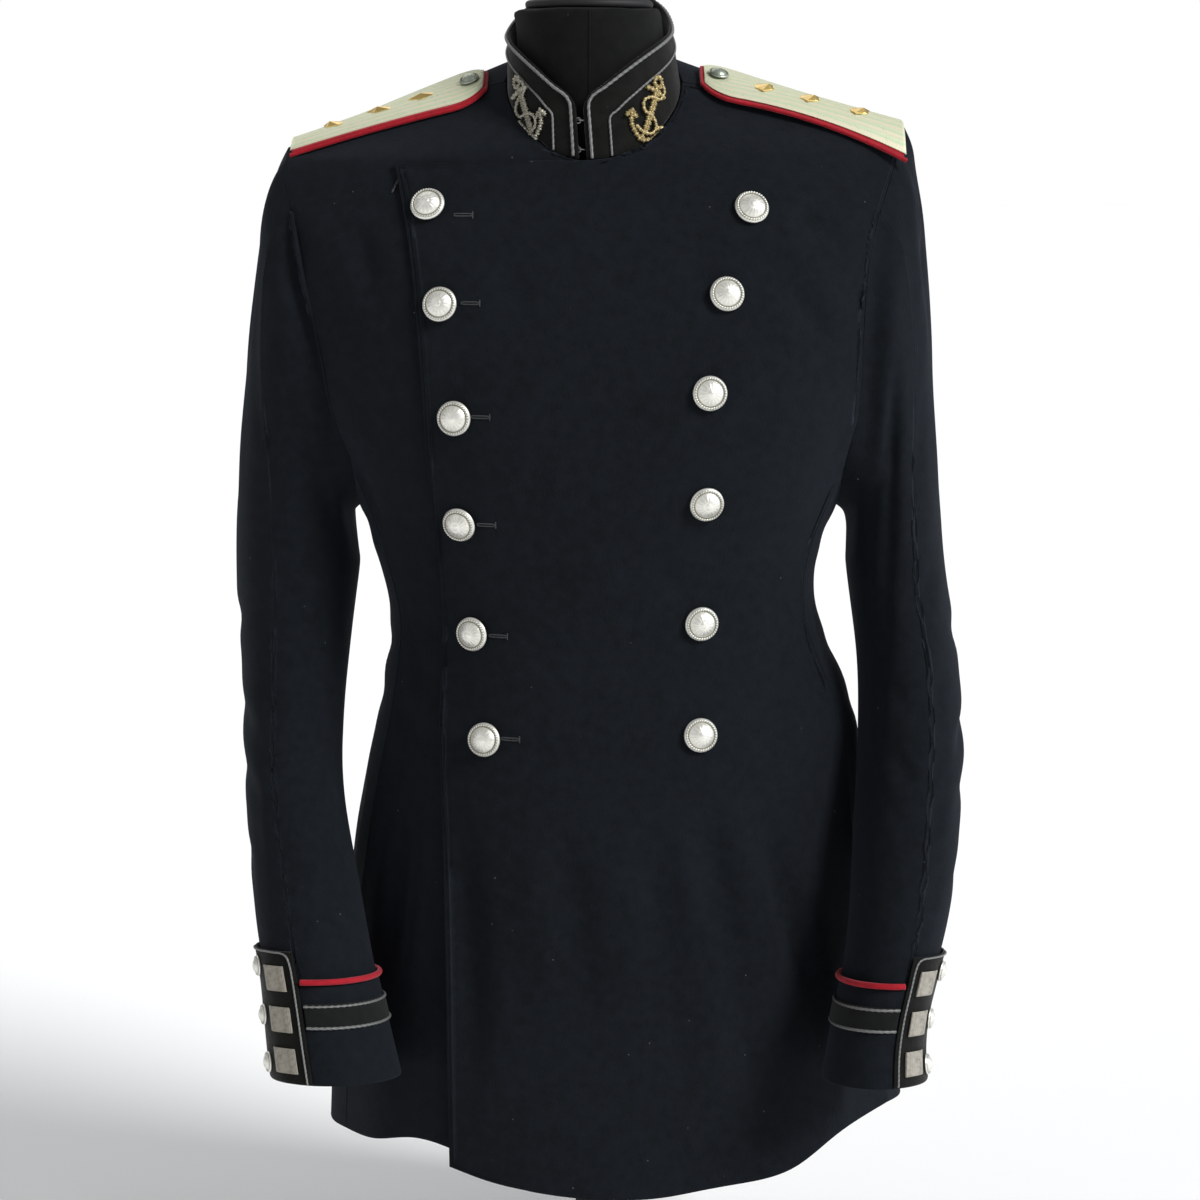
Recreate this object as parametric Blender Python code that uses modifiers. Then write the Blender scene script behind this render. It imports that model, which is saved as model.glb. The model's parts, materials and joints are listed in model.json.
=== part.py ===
"""Double-breasted military dress tunic, worn by a limbless dress form on a short table stand.

Metres, +Z up. The tunic faces -Y and the wearer's left is +X. The stand's underside is Z = 0.
"Right" and "left" are the wearer's own. Sizes in the tables are those of the cloth's outer side.
"""

import math
from collections import namedtuple

import bmesh
import bpy
import numpy as np
from mathutils import Matrix, Vector
from mathutils.bvhtree import BVHTree

COLLECTION_NAME = "military_dress_tunic"

# Cloth
WALL = 0.0020
SEAM_GAP = 0.00034
LAP_GAP = 0.0004
TRIM_GAP = 0.00035

# Body below the armholes: one horizontal section a row
BodySection = namedtuple("BodySection", "height half_right half_left front back roundness")
BODY_SECTIONS = (
    BodySection(0.150, 0.1920, 0.2240, 0.150, 0.162, 2.00),
    BodySection(0.240, 0.1870, 0.2120, 0.146, 0.154, 2.00),
    BodySection(0.336, 0.1760, 0.2000, 0.138, 0.143, 2.05),
    BodySection(0.411, 0.1630, 0.1925, 0.130, 0.130, 2.10),
    BodySection(0.448, 0.1545, 0.1870, 0.124, 0.120, 2.15),
    BodySection(0.485, 0.1490, 0.1720, 0.119, 0.108, 2.20),
    BodySection(0.522, 0.1465, 0.1590, 0.116, 0.097, 2.25),
    BodySection(0.558, 0.1555, 0.1600, 0.117, 0.095, 2.30),
    BodySection(0.595, 0.1670, 0.1730, 0.121, 0.100, 2.30),
    BodySection(0.625, 0.1800, 0.1870, 0.126, 0.108, 2.30),
)
BODY_ROWS = 13
FRONT_SEAM_REACH = 0.93
BACK_SEAM_REACH = 0.90
SIDE_COLUMNS = 4
ARMPIT_DROP = 0.033
ARMPIT_DROP_START = 0.500

# Hem: its height by turn from the centre front, the wearer's right being negative
HemStation = namedtuple("HemStation", "turn height")
HEM = (
    HemStation(-180, 0.1500),
    HemStation(-120, 0.1470),
    HemStation(-90, 0.1395),
    HemStation(-74, 0.1420),
    HemStation(-60, 0.1475),
    HemStation(-48, 0.1500),
    HemStation(-36, 0.1465),
    HemStation(-24, 0.1372),
    HemStation(-12, 0.1312),
    HemStation(0, 0.1275),
    HemStation(10, 0.1268),
    HemStation(22, 0.1322),
    HemStation(34, 0.1375),
    HemStation(43, 0.1425),
    HemStation(51, 0.1565),
    HemStation(59, 0.1668),
    HemStation(70, 0.1635),
    HemStation(90, 0.1560),
    HemStation(120, 0.1500),
    HemStation(180, 0.1500),
)
HEM_FADE = 0.300
# The under front's hem is higher just beyond the lapped edge: by how much, and from where to where
UNDER_FRONT_LIFT = 0.0125
UNDER_LIFT_REACHES = (0.000, 0.100, 0.118, 0.160)

# Soft flutes of the skirt: where round the body, how wide, how deep and how far up
SkirtFold = namedtuple("SkirtFold", "turn width depth top")
SKIRT_FOLDS = (
    SkirtFold(34.0, 11.0, 0.0050, 0.420),
    SkirtFold(-47.0, 12.0, 0.0045, 0.380),
    SkirtFold(74.0, 13.0, 0.0050, 0.330),
    SkirtFold(-82.0, 12.0, 0.0040, 0.330),
    SkirtFold(128.0, 14.0, 0.0070, 0.430),
    SkirtFold(-124.0, 15.0, 0.0065, 0.410),
    SkirtFold(164.0, 12.0, 0.0050, 0.400),
    SkirtFold(-160.0, 13.0, 0.0055, 0.420),
)

# Armhole edge above the side seams, up to the shoulder point
ArmholeStation = namedtuple("ArmholeStation", "height right left front back")
ARMHOLE = (
    ArmholeStation(0.660, 0.1790, 0.1820, 0.066, 0.070),
    ArmholeStation(0.710, 0.1885, 0.1850, 0.070, 0.075),
    ArmholeStation(0.760, 0.2000, 0.1880, 0.065, 0.072),
    ArmholeStation(0.800, 0.2090, 0.1960, 0.051, 0.058),
    ArmholeStation(0.832, 0.2130, 0.2080, 0.029, 0.036),
)
ShoulderPoint = namedtuple("ShoulderPoint", "reach depth height")
SHOULDER_POINTS = {
    "right": ShoulderPoint(0.2146, 0.003, 0.8445),
    "left": ShoulderPoint(0.2175, 0.003, 0.8585),
}

# Neck seam: an oval that leans forward
NECK_HALF_WIDTH = 0.0618
NECK_FRONT = 0.0735
NECK_BACK = 0.0620
NECK_PIT_HEIGHT = 0.8360
NECK_NAPE_HEIGHT = 0.9150
NECK_SIDE_LIFT = 0.0140

# Rows above the armpit. Centre rows start on the centre line, neck rows on the neck seam.
CentreRow = namedtuple("CentreRow", "height depth armhole_place")
NeckRow = namedtuple("NeckRow", "turn armhole_place")
FRONT_CENTRE_ROWS = (
    CentreRow(0.660, 0.1280, 1.0),
    CentreRow(0.695, 0.1250, 1.7),
    CentreRow(0.730, 0.1180, 2.4),
    CentreRow(0.765, 0.1080, 3.1),
    CentreRow(0.800, 0.0940, 4.0),
)
FRONT_NECK_ROWS = (
    NeckRow(0, 5.0), NeckRow(25, 5.32), NeckRow(48, 5.58), NeckRow(69, 5.80), NeckRow(90, 6.0),
)
BACK_CENTRE_ROWS = (
    CentreRow(0.665, -0.1150, 1.1),
    CentreRow(0.710, -0.1210, 2.0),
    CentreRow(0.755, -0.1220, 2.9),
    CentreRow(0.800, -0.1180, 3.7),
    CentreRow(0.845, -0.1050, 4.4),
    CentreRow(0.885, -0.0840, 4.9),
)
BACK_NECK_ROWS = (
    NeckRow(180, 5.25), NeckRow(150, 5.5), NeckRow(120, 5.75), NeckRow(90, 6.0),
)
UPPER_REACH_LOW = 0.93
UPPER_REACH_HIGH = 0.55
UPPER_ROUNDNESS = 2.3

# Free edge of the left front, which laps over the right front
EdgeStation = namedtuple("EdgeStation", "height reach")
FREE_EDGE = (
    EdgeStation(0.150, 0.1004),
    EdgeStation(0.331, 0.1016),
    EdgeStation(0.435, 0.1058),
    EdgeStation(0.539, 0.1056),
    EdgeStation(0.603, 0.1099),
    EdgeStation(0.665, 0.1136),
    EdgeStation(0.725, 0.1178),
    EdgeStation(0.778, 0.1235),
    EdgeStation(0.836, 0.1349),
)
LAP_COLUMNS = 4
OUTER_COLUMNS = 3
LIFT_FADE = (0.62, 0.25, 0.0)
NECK_LIFT_FADE = (1.0, 0.62, 0.28, 0.08, 0.0)
BACK_COLUMNS = LAP_COLUMNS + OUTER_COLUMNS

# Sleeves below the sleeve head: one section a row, given for both arms
ArmSection = namedtuple(
    "ArmSection", "height right left depth_right depth_left wide_right wide_left deep"
)
ARM_SECTIONS = (
    ArmSection(0.545, 0.2127, 0.2168, 0.001, -0.001, 0.0437, 0.0352, 0.0620),
    ArmSection(0.522, 0.2136, 0.2198, -0.002, -0.006, 0.0417, 0.0355, 0.0610),
    ArmSection(0.487, 0.2142, 0.2241, -0.009, -0.017, 0.0385, 0.0358, 0.0590),
    ArmSection(0.452, 0.2152, 0.2252, -0.018, -0.032, 0.0360, 0.0367, 0.0570),
    ArmSection(0.418, 0.2150, 0.2238, -0.031, -0.049, 0.0346, 0.0372, 0.0550),
    ArmSection(0.385, 0.2121, 0.2207, -0.048, -0.068, 0.0346, 0.0372, 0.0530),
    ArmSection(0.353, 0.2062, 0.2173, -0.067, -0.087, 0.0361, 0.0362, 0.0510),
    ArmSection(0.323, 0.2004, 0.2133, -0.087, -0.103, 0.0380, 0.0348, 0.0495),
    ArmSection(0.292, 0.1941, 0.2068, -0.106, -0.117, 0.0383, 0.0324, 0.0485),
    ArmSection(0.276, 0.1898, 0.2026, -0.115, -0.124, 0.0386, 0.0311, 0.0480),
    ArmSection(0.245, 0.1832, 0.1947, -0.131, -0.138, 0.0408, 0.0313, 0.0475),
    ArmSection(0.213, 0.1764, 0.1914, -0.146, -0.152, 0.0427, 0.0347, 0.0470),
)
# The cuffs' ends tilt with the forearm, reaching their full tilt at this share of the sleeve
CUFF_TILT = math.radians(9)
FULL_TILT_SHARE = 0.83
HEAD_ROWS = 6
SLEEVE_ROWS = 8
FRONT_ARM_SEAM = 5
BACK_ARM_SEAM = 17
# How the sleeve leaves the armhole: its direction, and how strongly it holds at both ends
HeadEnd = namedtuple("HeadEnd", "across down leave arrive")
HEAD_OVER = HeadEnd(0.80, -0.60, 0.25, 0.60)
HEAD_UNDER = HeadEnd(0.94, -0.34, 1.00, 1.00)

# Cuffs and what is sewn on them, by height and by turn in degrees from the arm's outer side
CUFF_TOP = 0.277
CUFF_END = 0.216
CUFF_PROUD = 0.0012
CUFF_ROWS = 3
PIPING_RADIUS = 0.0020
PIPING_RISE = 0.0024
BAND_TOP = 0.2660
BAND_END = 0.2500
BAND_FOOT = 0.0006
BAND_FLOOR = 0.0010
BAND_RIB = 0.0024
BAND_RIB_WIDTH = 0.0024
TRIM_SHORT_OF_TAB = 1.2
TAB_TOP = 0.297
TAB_WALL = 0.0014
TAB_COLUMNS = (-1, 5)
BAR_HEIGHT = 0.0155
BAR_WALL = 0.0013
BAR_PLACES = (0.2800, 0.2550, 0.2300)
BAR_TURNS = (38.0, 45.0, 60.0, 64.0)
CUFF_BUTTON_TURN = 24.0
CUFF_BUTTON_PLACES = (0.2860, 0.2560, 0.2270)

# Stand collar
COLLAR_WALL = 0.0030
COLLAR_ROWS = 2
COLLAR_COLUMNS = 24
COLLAR_OPENING = -7.0
COLLAR_HALF_GAP = 2.6
CollarStation = namedtuple("CollarStation", "turn height")
COLLAR_TOP = (
    CollarStation(0, 0.8780),
    CollarStation(6, 0.8795),
    CollarStation(22, 0.8920),
    CollarStation(37, 0.9025),
    CollarStation(52, 0.9110),
    CollarStation(70, 0.9185),
    CollarStation(95, 0.9265),
    CollarStation(125, 0.9430),
    CollarStation(180, 0.9640),
)
COLLAR_TOP_HALF_WIDTH = 0.0568
COLLAR_LEAN = -0.0032
COLLAR_TOP_FRONT = 0.0680
COLLAR_TOP_BACK = 0.0560
COLLAR_BASE_LIFT = 0.0004
COLLAR_BASE_INSET = 0.0006
COLLAR_CORD_FOOT = 0.1
COLLAR_CORD_MIDDLE = 0.6
# Silver cords on the collar: the columns they keep from its front edge, and the shares of its
# height that they keep from its top, at the front and at the sides
CollarCord = namedtuple("CollarCord", "name columns front side radius")
COLLAR_CORDS = (
    CollarCord("collar_edge_cord", 0.24, 0.07, 0.06, 0.0010),
    CollarCord("collar_inner_cord", 1.12, 0.44, 0.36, 0.0008),
)
CORD_SIDE_COLUMN = 3.5

# Buttons
ButtonPlace = namedtuple("ButtonPlace", "name reach height")
FRONT_BUTTONS = (
    ButtonPlace("right_1", -0.1117, 0.807),
    ButtonPlace("right_2", -0.1026, 0.742),
    ButtonPlace("right_3", -0.0930, 0.667),
    ButtonPlace("right_4", -0.0905, 0.594),
    ButtonPlace("right_5", -0.0824, 0.517),
    ButtonPlace("right_6", -0.0744, 0.445),
    ButtonPlace("left_1", 0.1062, 0.805),
    ButtonPlace("left_2", 0.0891, 0.749),
    ButtonPlace("left_3", 0.0773, 0.684),
    ButtonPlace("left_4", 0.0759, 0.609),
    ButtonPlace("left_5", 0.0732, 0.525),
    ButtonPlace("left_6", 0.0727, 0.449),
)
BUTTON_RADIUS = 0.0118
SMALL_BUTTON_RADIUS = 0.0072
BUTTON_SIDES = 12
SMALL_BUTTON_SIDES = 8
# Profile of a button as shares of its radius, from the shank's foot to the crown
BUTTON_PROFILE = (
    (0.30, 0.00), (0.30, 0.13), (0.97, 0.16), (1.00, 0.26), (0.86, 0.46), (0.50, 0.68),
)
BUTTON_CROWN = 0.78

# Shoulder boards: stiff plates bent to the shoulder up to where the sleeve's head falls away
BOARD_HALF_WIDTH = 0.0275
BOARD_START = 0.0740
BOARD_END = {"right": 0.2110, "left": 0.2165}
BOARD_BENT_TO = 0.1960
# How far behind the shoulder line its middle lies, at the neck and at the sleeve
BOARD_SHIFTS = {"right": (0.0060, 0.0), "left": (0.0080, -0.0090)}
BOARD_PROBES = 12
BOARD_GAPS = {"right": 0.0010, "left": 0.0014}
BOARD_ROWS = (-1.0, -0.6, -0.2, 0.2, 0.6, 1.0)
BOARD_STEPS = (0.0, 0.03, 0.08, 0.16, 0.30, 0.44, 0.58, 0.72, 0.86, 1.0)
BOARD_BLUNT = 0.18
BOARD_ROUND_END = 0.18
BOARD_BASE_WALL = 0.0018
BOARD_LACE_WALL = 0.0012
BOARD_LACE_INSET = 0.0024
STAR_PLACES = (0.22, 0.46, 0.68)
BOARD_BUTTON_PLACE = 0.91
STAR_POINTS = 5
STAR_RADIUS = 0.0100
STAR_WAIST = 0.45
STAR_HEIGHT = 0.0024
STAR_TOP = 0.30

# Dress form and its stand
FORM_INSET_SHOULDER = 0.0005
FORM_INSET_BODY = 0.0060
FORM_CLEAR_BELOW = 0.625
FORM_CLOSE_ABOVE = 0.840
FORM_MERGE = 2e-5
AXIS_MERGE = 1e-5
FORM_BOTTOM_ROW = 4
# Where the form's arm ends are closed: how far they bulge, and the share of it half way in
FORM_ARM_BULGE = 0.008
FORM_ARM_MIDDLE = 0.75
NeckSection = namedtuple("NeckSection", "half_width front back height level")
# level 0 follows the slant of the neck seam, 1 is horizontal
NECK_SECTIONS = (
    NeckSection(0.0522, 0.0630, 0.0517, 0.0000, 0.0),
    NeckSection(0.0514, 0.0615, 0.0510, 0.9180, 0.75),
    NeckSection(0.0505, 0.0600, 0.0495, 0.9320, 1.0),
    NeckSection(0.0470, 0.0560, 0.0455, 0.9385, 1.0),
)
NECK_LEAN_FROM = 0.890
NECK_LEAN_TO = 0.925
CAP_CENTRE = (COLLAR_LEAN, -0.005)
CAP_PROFILE = (
    (0.0420, 0.9389), (0.0440, 0.9405), (0.0440, 0.9430), (0.0410, 0.9450), (0.0130, 0.9475),
    (0.0080, 0.9500), (0.0110, 0.9590), (0.0095, 0.9660), (0.0040, 0.9700),
)
CAP_TIP = 0.9705
CAP_SIDES = 20
STAND_CENTRE = (0.0, 0.004)
STAND_GAP = 0.0003
POLE_RADIUS = 0.0140
BASE_PROFILE = (
    (0.1450, 0.0000), (0.1450, 0.0060), (0.1400, 0.0100), (0.0400, 0.0150), (0.0180, 0.0230),
    (POLE_RADIUS, 0.0300),
)
STAND_SIDES = 32

Finish = namedtuple("Finish", "colour roughness metallic")
FINISHES = {
    "navy_wool": Finish((0.012, 0.015, 0.024), 0.95, 0.0),
    "black_velvet": Finish((0.010, 0.010, 0.009), 1.0, 0.0),
    "silver_cord": Finish((0.46, 0.46, 0.44), 0.5, 0.6),
    "red_piping": Finish((0.55, 0.012, 0.035), 0.8, 0.0),
    "silver_button": Finish((0.80, 0.79, 0.75), 0.28, 1.0),
    "silver_lace": Finish((0.56, 0.60, 0.46), 0.55, 0.3),
    "gold_star": Finish((0.70, 0.52, 0.22), 0.4, 1.0),
    "form_cover": Finish((0.010, 0.010, 0.011), 0.9, 0.0),
    "stand_black": Finish((0.012, 0.012, 0.013), 0.4, 0.0),
}

SIDES = {"right": -1.0, "left": 1.0}
DOWN = Vector((0, 0, -1))
BACKWARDS = Vector((0, 1, 0))
# Where the rays that find the cloth start: in front of the body, above it and off the cuff
FRONT_PROBE_PLACE = -1.0
TOP_PROBE_HEIGHT = 2.0
CUFF_PROBE_LIFT = 0.05
SEAT_PROBES = 8


def mix(first, second, share):
    """The value at a share of the way from first to second."""
    return first + (second - first) * share


def smooth(share):
    """A soft step from 0 to 1."""
    share = min(max(share, 0.0), 1.0)
    return share * share * (3.0 - 2.0 * share)


def spline(places, values, place):
    """A smooth curve through values at rising places, read at one place."""
    places = np.asarray(places, float)
    values = np.asarray(values, float)
    steps = np.diff(places)
    slopes = (np.diff(values, axis=0).T / steps).T
    tangents = np.empty_like(values)
    tangents[0], tangents[-1] = slopes[0], slopes[-1]
    for i in range(1, len(places) - 1):
        before, after = steps[i - 1], steps[i]
        tangents[i] = (slopes[i - 1] * after + slopes[i] * before) / (before + after)
    i = int(np.clip(np.searchsorted(places, place) - 1, 0, len(steps) - 1))
    t = (place - places[i]) / steps[i]
    return (
        (2 * t**3 - 3 * t**2 + 1) * values[i]
        + (t**3 - 2 * t**2 + t) * steps[i] * tangents[i]
        + (3 * t**2 - 2 * t**3) * values[i + 1]
        + (t**3 - t**2) * steps[i] * tangents[i + 1]
    )


def table_curve(rows, key, names, place):
    """Reads the named columns of a table at a place between its rows, smoothly."""
    ordered = sorted(rows, key=lambda row: getattr(row, key))
    places = [getattr(row, key) for row in ordered]
    values = [[getattr(row, name) for name in names] for row in ordered]
    return spline(places, values, place)


# --- Points of the body -------------------------------------------------------------------------


def hem_height(side, turn):
    """Height of the hem at a turn in radians from the centre front."""
    place = SIDES[side] * math.degrees(turn)
    return float(table_curve(HEM, "turn", ["height"], place)[0])


def under_front_lift(point):
    """How much higher the under front's hem is at a point of it."""
    start, full, fading, end = UNDER_LIFT_REACHES
    rise = smooth((-point.x - start) / (full - start))
    return UNDER_FRONT_LIFT * rise * (1 - smooth((-point.x - fading) / (end - fading)))


def body_point(side, height, turn):
    """A point of the body below the armpits, at a turn in radians from the centre front."""
    section = table_curve(BODY_SECTIONS, "height", BodySection._fields, height)
    row = BodySection(*section)
    half = row.half_right if side == "right" else row.half_left
    depth = row.front if turn <= math.pi / 2 else row.back
    power = 2.0 / row.roundness
    across = half * abs(math.sin(turn)) ** power
    along = -math.copysign(depth * abs(math.cos(turn)) ** power, math.cos(turn))
    fold = 0.0
    for flute in SKIRT_FOLDS:
        apart = SIDES[side] * math.degrees(turn) - flute.turn
        away = ((apart + 180) % 360 - 180) / flute.width
        rise = smooth((flute.top - height) / (flute.top - BODY_SECTIONS[0].height))
        fold += flute.depth * rise * math.exp(-away * away)
    across += fold * math.sin(turn)
    along -= fold * math.cos(turn)
    low = smooth((HEM_FADE - height) / (HEM_FADE - BODY_SECTIONS[0].height))
    height += low * (hem_height(side, turn) - BODY_SECTIONS[0].height)
    return Vector((SIDES[side] * across, along, height))


def turn_at_reach(reach, roundness):
    """The turn at which a section has reached this share of its half width."""
    return math.asin(min(1.0, reach ** (roundness / 2.0)))


def roundness_at(height):
    """How square the body's section is at a height."""
    return float(table_curve(BODY_SECTIONS, "height", ["roundness"], height)[0])


def body_heights():
    """Heights of the grid's rows from the hem to the foot of the armhole."""
    low, high = BODY_SECTIONS[0].height, BODY_SECTIONS[-1].height
    return [mix(low, high, i / BODY_ROWS) for i in range(BODY_ROWS + 1)]


def neck_point(turn_degrees, side):
    """A point of the neck seam, by its turn from the centre front."""
    turn = math.radians(turn_degrees)
    middle = (NECK_NAPE_HEIGHT + NECK_PIT_HEIGHT) / 2
    rise = (NECK_NAPE_HEIGHT - NECK_PIT_HEIGHT) / 2
    centre = (NECK_BACK - NECK_FRONT) / 2
    return Vector((
        SIDES[side] * NECK_HALF_WIDTH * math.sin(turn),
        centre - (NECK_BACK + NECK_FRONT) / 2 * math.cos(turn),
        middle - rise * math.cos(turn) + NECK_SIDE_LIFT * math.sin(turn) ** 2,
    ))


def armhole_point(side, back, place):
    """A point of the armhole's edge: place 0 is the side seam's top and 6 the shoulder point."""
    reach = BACK_SEAM_REACH if back else FRONT_SEAM_REACH
    turn = turn_at_reach(reach, BODY_SECTIONS[-1].roundness)
    foot = body_point(side, BODY_SECTIONS[-1].height, math.pi - turn if back else turn)
    points = [foot]
    for row in ARMHOLE:
        across = row.right if side == "right" else row.left
        points.append(Vector((SIDES[side] * across, row.back if back else -row.front, row.height)))
    top = SHOULDER_POINTS[side]
    points.append(Vector((SIDES[side] * top.reach, top.depth, top.height)))
    return Vector(spline(range(len(points)), [list(p) for p in points], place))


def free_edge_reach(height):
    """How far the lapped edge lies from the centre line at a height."""
    height = min(max(height, FREE_EDGE[0].height), FREE_EDGE[-1].height)
    return float(table_curve(FREE_EDGE, "height", ["reach"], height)[0])


def front_shares(height, seam_reach):
    """Shares of the way from the centre line to the seam at which the columns stand."""
    edge = free_edge_reach(height) / seam_reach
    inner = [edge * i / LAP_COLUMNS for i in range(LAP_COLUMNS + 1)]
    return inner + [mix(edge, 1.0, i / OUTER_COLUMNS) for i in range(1, OUTER_COLUMNS + 1)]


def upper_row(start, end, shares, openness):
    """A row of points from the centre or neck to the armhole, rounded like the chest."""
    reach = mix(UPPER_REACH_LOW, UPPER_REACH_HIGH, openness)
    last = (1 - reach**UPPER_ROUNDNESS) ** (1 / UPPER_ROUNDNESS)
    row = []
    for share in shares:
        curve = (1 - (reach * share) ** UPPER_ROUNDNESS) ** (1 / UPPER_ROUNDNESS)
        keep = (curve - last) / (1 - last)
        point = start.lerp(end, share)
        point.y = mix(end.y, start.y, keep)
        row.append(point)
    return row


def front_grid(side):
    """Rows of points of one front, from hem to shoulder seam, centre line to side seam."""
    rows = []
    for height in body_heights():
        roundness = roundness_at(height)
        seam = body_point(side, height, turn_at_reach(FRONT_SEAM_REACH, roundness))
        shares = front_shares(height, abs(seam.x))
        turns = [turn_at_reach(FRONT_SEAM_REACH * share, roundness) for share in shares]
        rows.append([body_point(side, height, turn) for turn in turns])
    count = len(FRONT_CENTRE_ROWS) + len(FRONT_NECK_ROWS)
    for i, row in enumerate(FRONT_CENTRE_ROWS):
        start = Vector((0, -row.depth, row.height))
        end = armhole_point(side, False, row.armhole_place)
        shares = front_shares(row.height, abs(end.x))
        rows.append(upper_row(start, end, shares, (i + 1) / count))
    for i, row in enumerate(FRONT_NECK_ROWS, len(FRONT_CENTRE_ROWS)):
        start = neck_point(row.turn, side)
        end = armhole_point(side, False, row.armhole_place)
        shares = front_shares(NECK_PIT_HEIGHT, abs(end.x))
        rows.append(upper_row(start, end, shares, (i + 1) / count))
    return rows


def back_grid(side, front):
    """Rows of points of one back, from hem to shoulder seam, centre line to side seam."""
    rows = []
    for height in body_heights():
        roundness = roundness_at(height)
        turns = [
            math.pi - turn_at_reach(BACK_SEAM_REACH * i / BACK_COLUMNS, roundness)
            for i in range(BACK_COLUMNS + 1)
        ]
        rows.append([body_point(side, height, turn) for turn in turns])
    shares = [i / BACK_COLUMNS for i in range(BACK_COLUMNS + 1)]
    count = len(BACK_CENTRE_ROWS) + len(BACK_NECK_ROWS)
    for i, row in enumerate(BACK_CENTRE_ROWS):
        start = Vector((0, -row.depth, row.height))
        end = armhole_point(side, True, row.armhole_place)
        rows.append(upper_row(start, end, shares, (i + 1) / count))
    for i, row in enumerate(BACK_NECK_ROWS, len(BACK_CENTRE_ROWS)):
        start = neck_point(row.turn, side)
        end = armhole_point(side, True, row.armhole_place)
        rows.append(upper_row(start, end, shares, (i + 1) / count))
    rows[-1] = [point.copy() for point in front[-1]]
    return rows


def side_grid(side, front, back):
    """Rows of points of the side body, which dips under the arm at its top."""
    rows = []
    for i, height in enumerate(body_heights()):
        roundness = roundness_at(height)
        first = turn_at_reach(FRONT_SEAM_REACH, roundness)
        last = math.pi - turn_at_reach(BACK_SEAM_REACH, roundness)
        low = smooth((height - ARMPIT_DROP_START) / (BODY_SECTIONS[-1].height - ARMPIT_DROP_START))
        row = []
        for column in range(SIDE_COLUMNS + 1):
            share = column / SIDE_COLUMNS
            drop = ARMPIT_DROP * low * math.sin(math.pi * share)
            row.append(body_point(side, height - drop, mix(first, last, share)))
        row[0], row[-1] = front[i][-1].copy(), back[i][-1].copy()
        rows.append(row)
    return rows


# --- Points of the sleeves ----------------------------------------------------------------------


def armhole_ring(front, back, side_rows):
    """The armhole's edge as a ring: down the front from the shoulder point, then up the back."""
    first = BODY_ROWS
    down = [row[-1] for row in reversed(front[first:])]
    under = side_rows[-1][1:-1]
    up = [row[-1] for row in back[first:]]
    return [point.copy() for point in down + under + up[:-1]]


def arm_ring(side, height, count):
    """Points of the sleeve's section at a height, evenly round the arm from its outer side."""
    row = ArmSection(*table_curve(ARM_SECTIONS, "height", ArmSection._fields, height))
    centre, depth, wide = row.left, row.depth_left, row.wide_left
    if side == "right":
        centre, depth, wide = row.right, row.depth_right, row.wide_right
    top, end = ARM_SECTIONS[0].height, ARM_SECTIONS[-1].height
    tilt = math.tan(CUFF_TILT * smooth((top - height) / (top - end) / FULL_TILT_SHARE))
    points = []
    for column in range(count):
        turn = 2 * math.pi * column / count
        forward = row.deep * math.sin(turn)
        across = centre + wide * math.cos(turn)
        points.append(Vector((SIDES[side] * across, depth - forward, row.height + forward * tilt)))
    return points


def sleeve_heights():
    """Heights of the sleeve's rings below its head."""
    top = ARM_SECTIONS[0].height
    return [mix(top, CUFF_TOP, i / SLEEVE_ROWS) for i in range(SLEEVE_ROWS + 1)]


def cuff_heights():
    """Heights of the cuff's rings, the first being the sleeve's last."""
    return [mix(CUFF_TOP, CUFF_END, i / CUFF_ROWS) for i in range(CUFF_ROWS + 1)]


def sleeve_grid(side, hole):
    """Rings of points of a sleeve, from the armhole to the top of the cuff."""
    count = len(hole)
    first = arm_ring(side, ARM_SECTIONS[0].height, count)
    second = arm_ring(side, ARM_SECTIONS[1].height, count)
    rings = []
    for step in range(HEAD_ROWS + 1):
        t = step / HEAD_ROWS
        ring = []
        for column in range(count):
            under = 0.5 - 0.5 * math.cos(2 * math.pi * column / count)
            end = HeadEnd(*(mix(over, below, under) for over, below in zip(HEAD_OVER, HEAD_UNDER)))
            start = Vector((SIDES[side] * end.across, 0, end.down)).normalized()
            a, b = hole[column], first[column]
            reach = (b - a).length
            leave = start * reach * end.leave
            arrive = (second[column] - b).normalized() * reach * end.arrive
            ring.append(
                a * (2 * t**3 - 3 * t**2 + 1) + leave * (t**3 - 2 * t**2 + t)
                + b * (3 * t**2 - 2 * t**3) + arrive * (t**3 - t**2)
            )
        rings.append(ring)
    return rings + [arm_ring(side, height, count) for height in sleeve_heights()[1:]]


def cuff_grid(side, arm):
    """Rings of points of a cuff, from the sleeve's last ring to the cuff's end."""
    return [arm[-1]] + [arm_ring(side, height, len(arm[-1])) for height in cuff_heights()[1:]]


# --- Normals and walls --------------------------------------------------------------------------


def place_key(point):
    """A point as whole hundredths of a millimetre, so that shared points are found again."""
    return tuple(round(value * 1e5) for value in point)


def cell_normals(rows, closed):
    """Unit normals of a grid's cells, each with its four corners, facing away from the grid's axis.

    A ring's axis runs through its middle, and an open grid's is the body's own.
    """
    width = len(rows[0])
    cells = []
    outward = 0.0
    for i in range(len(rows) - 1):
        axis = sum(rows[i], Vector()) / width if closed else Vector((0, 0, rows[i][0].z))
        for j in range(width if closed else width - 1):
            k = (j + 1) % width
            corners = (rows[i][j], rows[i][k], rows[i + 1][k], rows[i + 1][j])
            normal = (corners[2] - corners[0]).cross(corners[3] - corners[1])
            outward += normal.dot(corners[0] - axis)
            cells.append((normal.normalized(), corners))
    sign = math.copysign(1.0, outward)
    return [(normal * sign, corners) for normal, corners in cells]


def outward_normals(grids):
    """Outward normals where the faces of all the grids meet, so that walls agree at every seam."""
    sums = {}
    for rows, closed in grids:
        for normal, corners in cell_normals(rows, closed):
            for point in corners:
                key = place_key(point)
                sums[key] = sums.get(key, Vector()) + normal
    return {key: value.normalized() for key, value in sums.items()}


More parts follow.
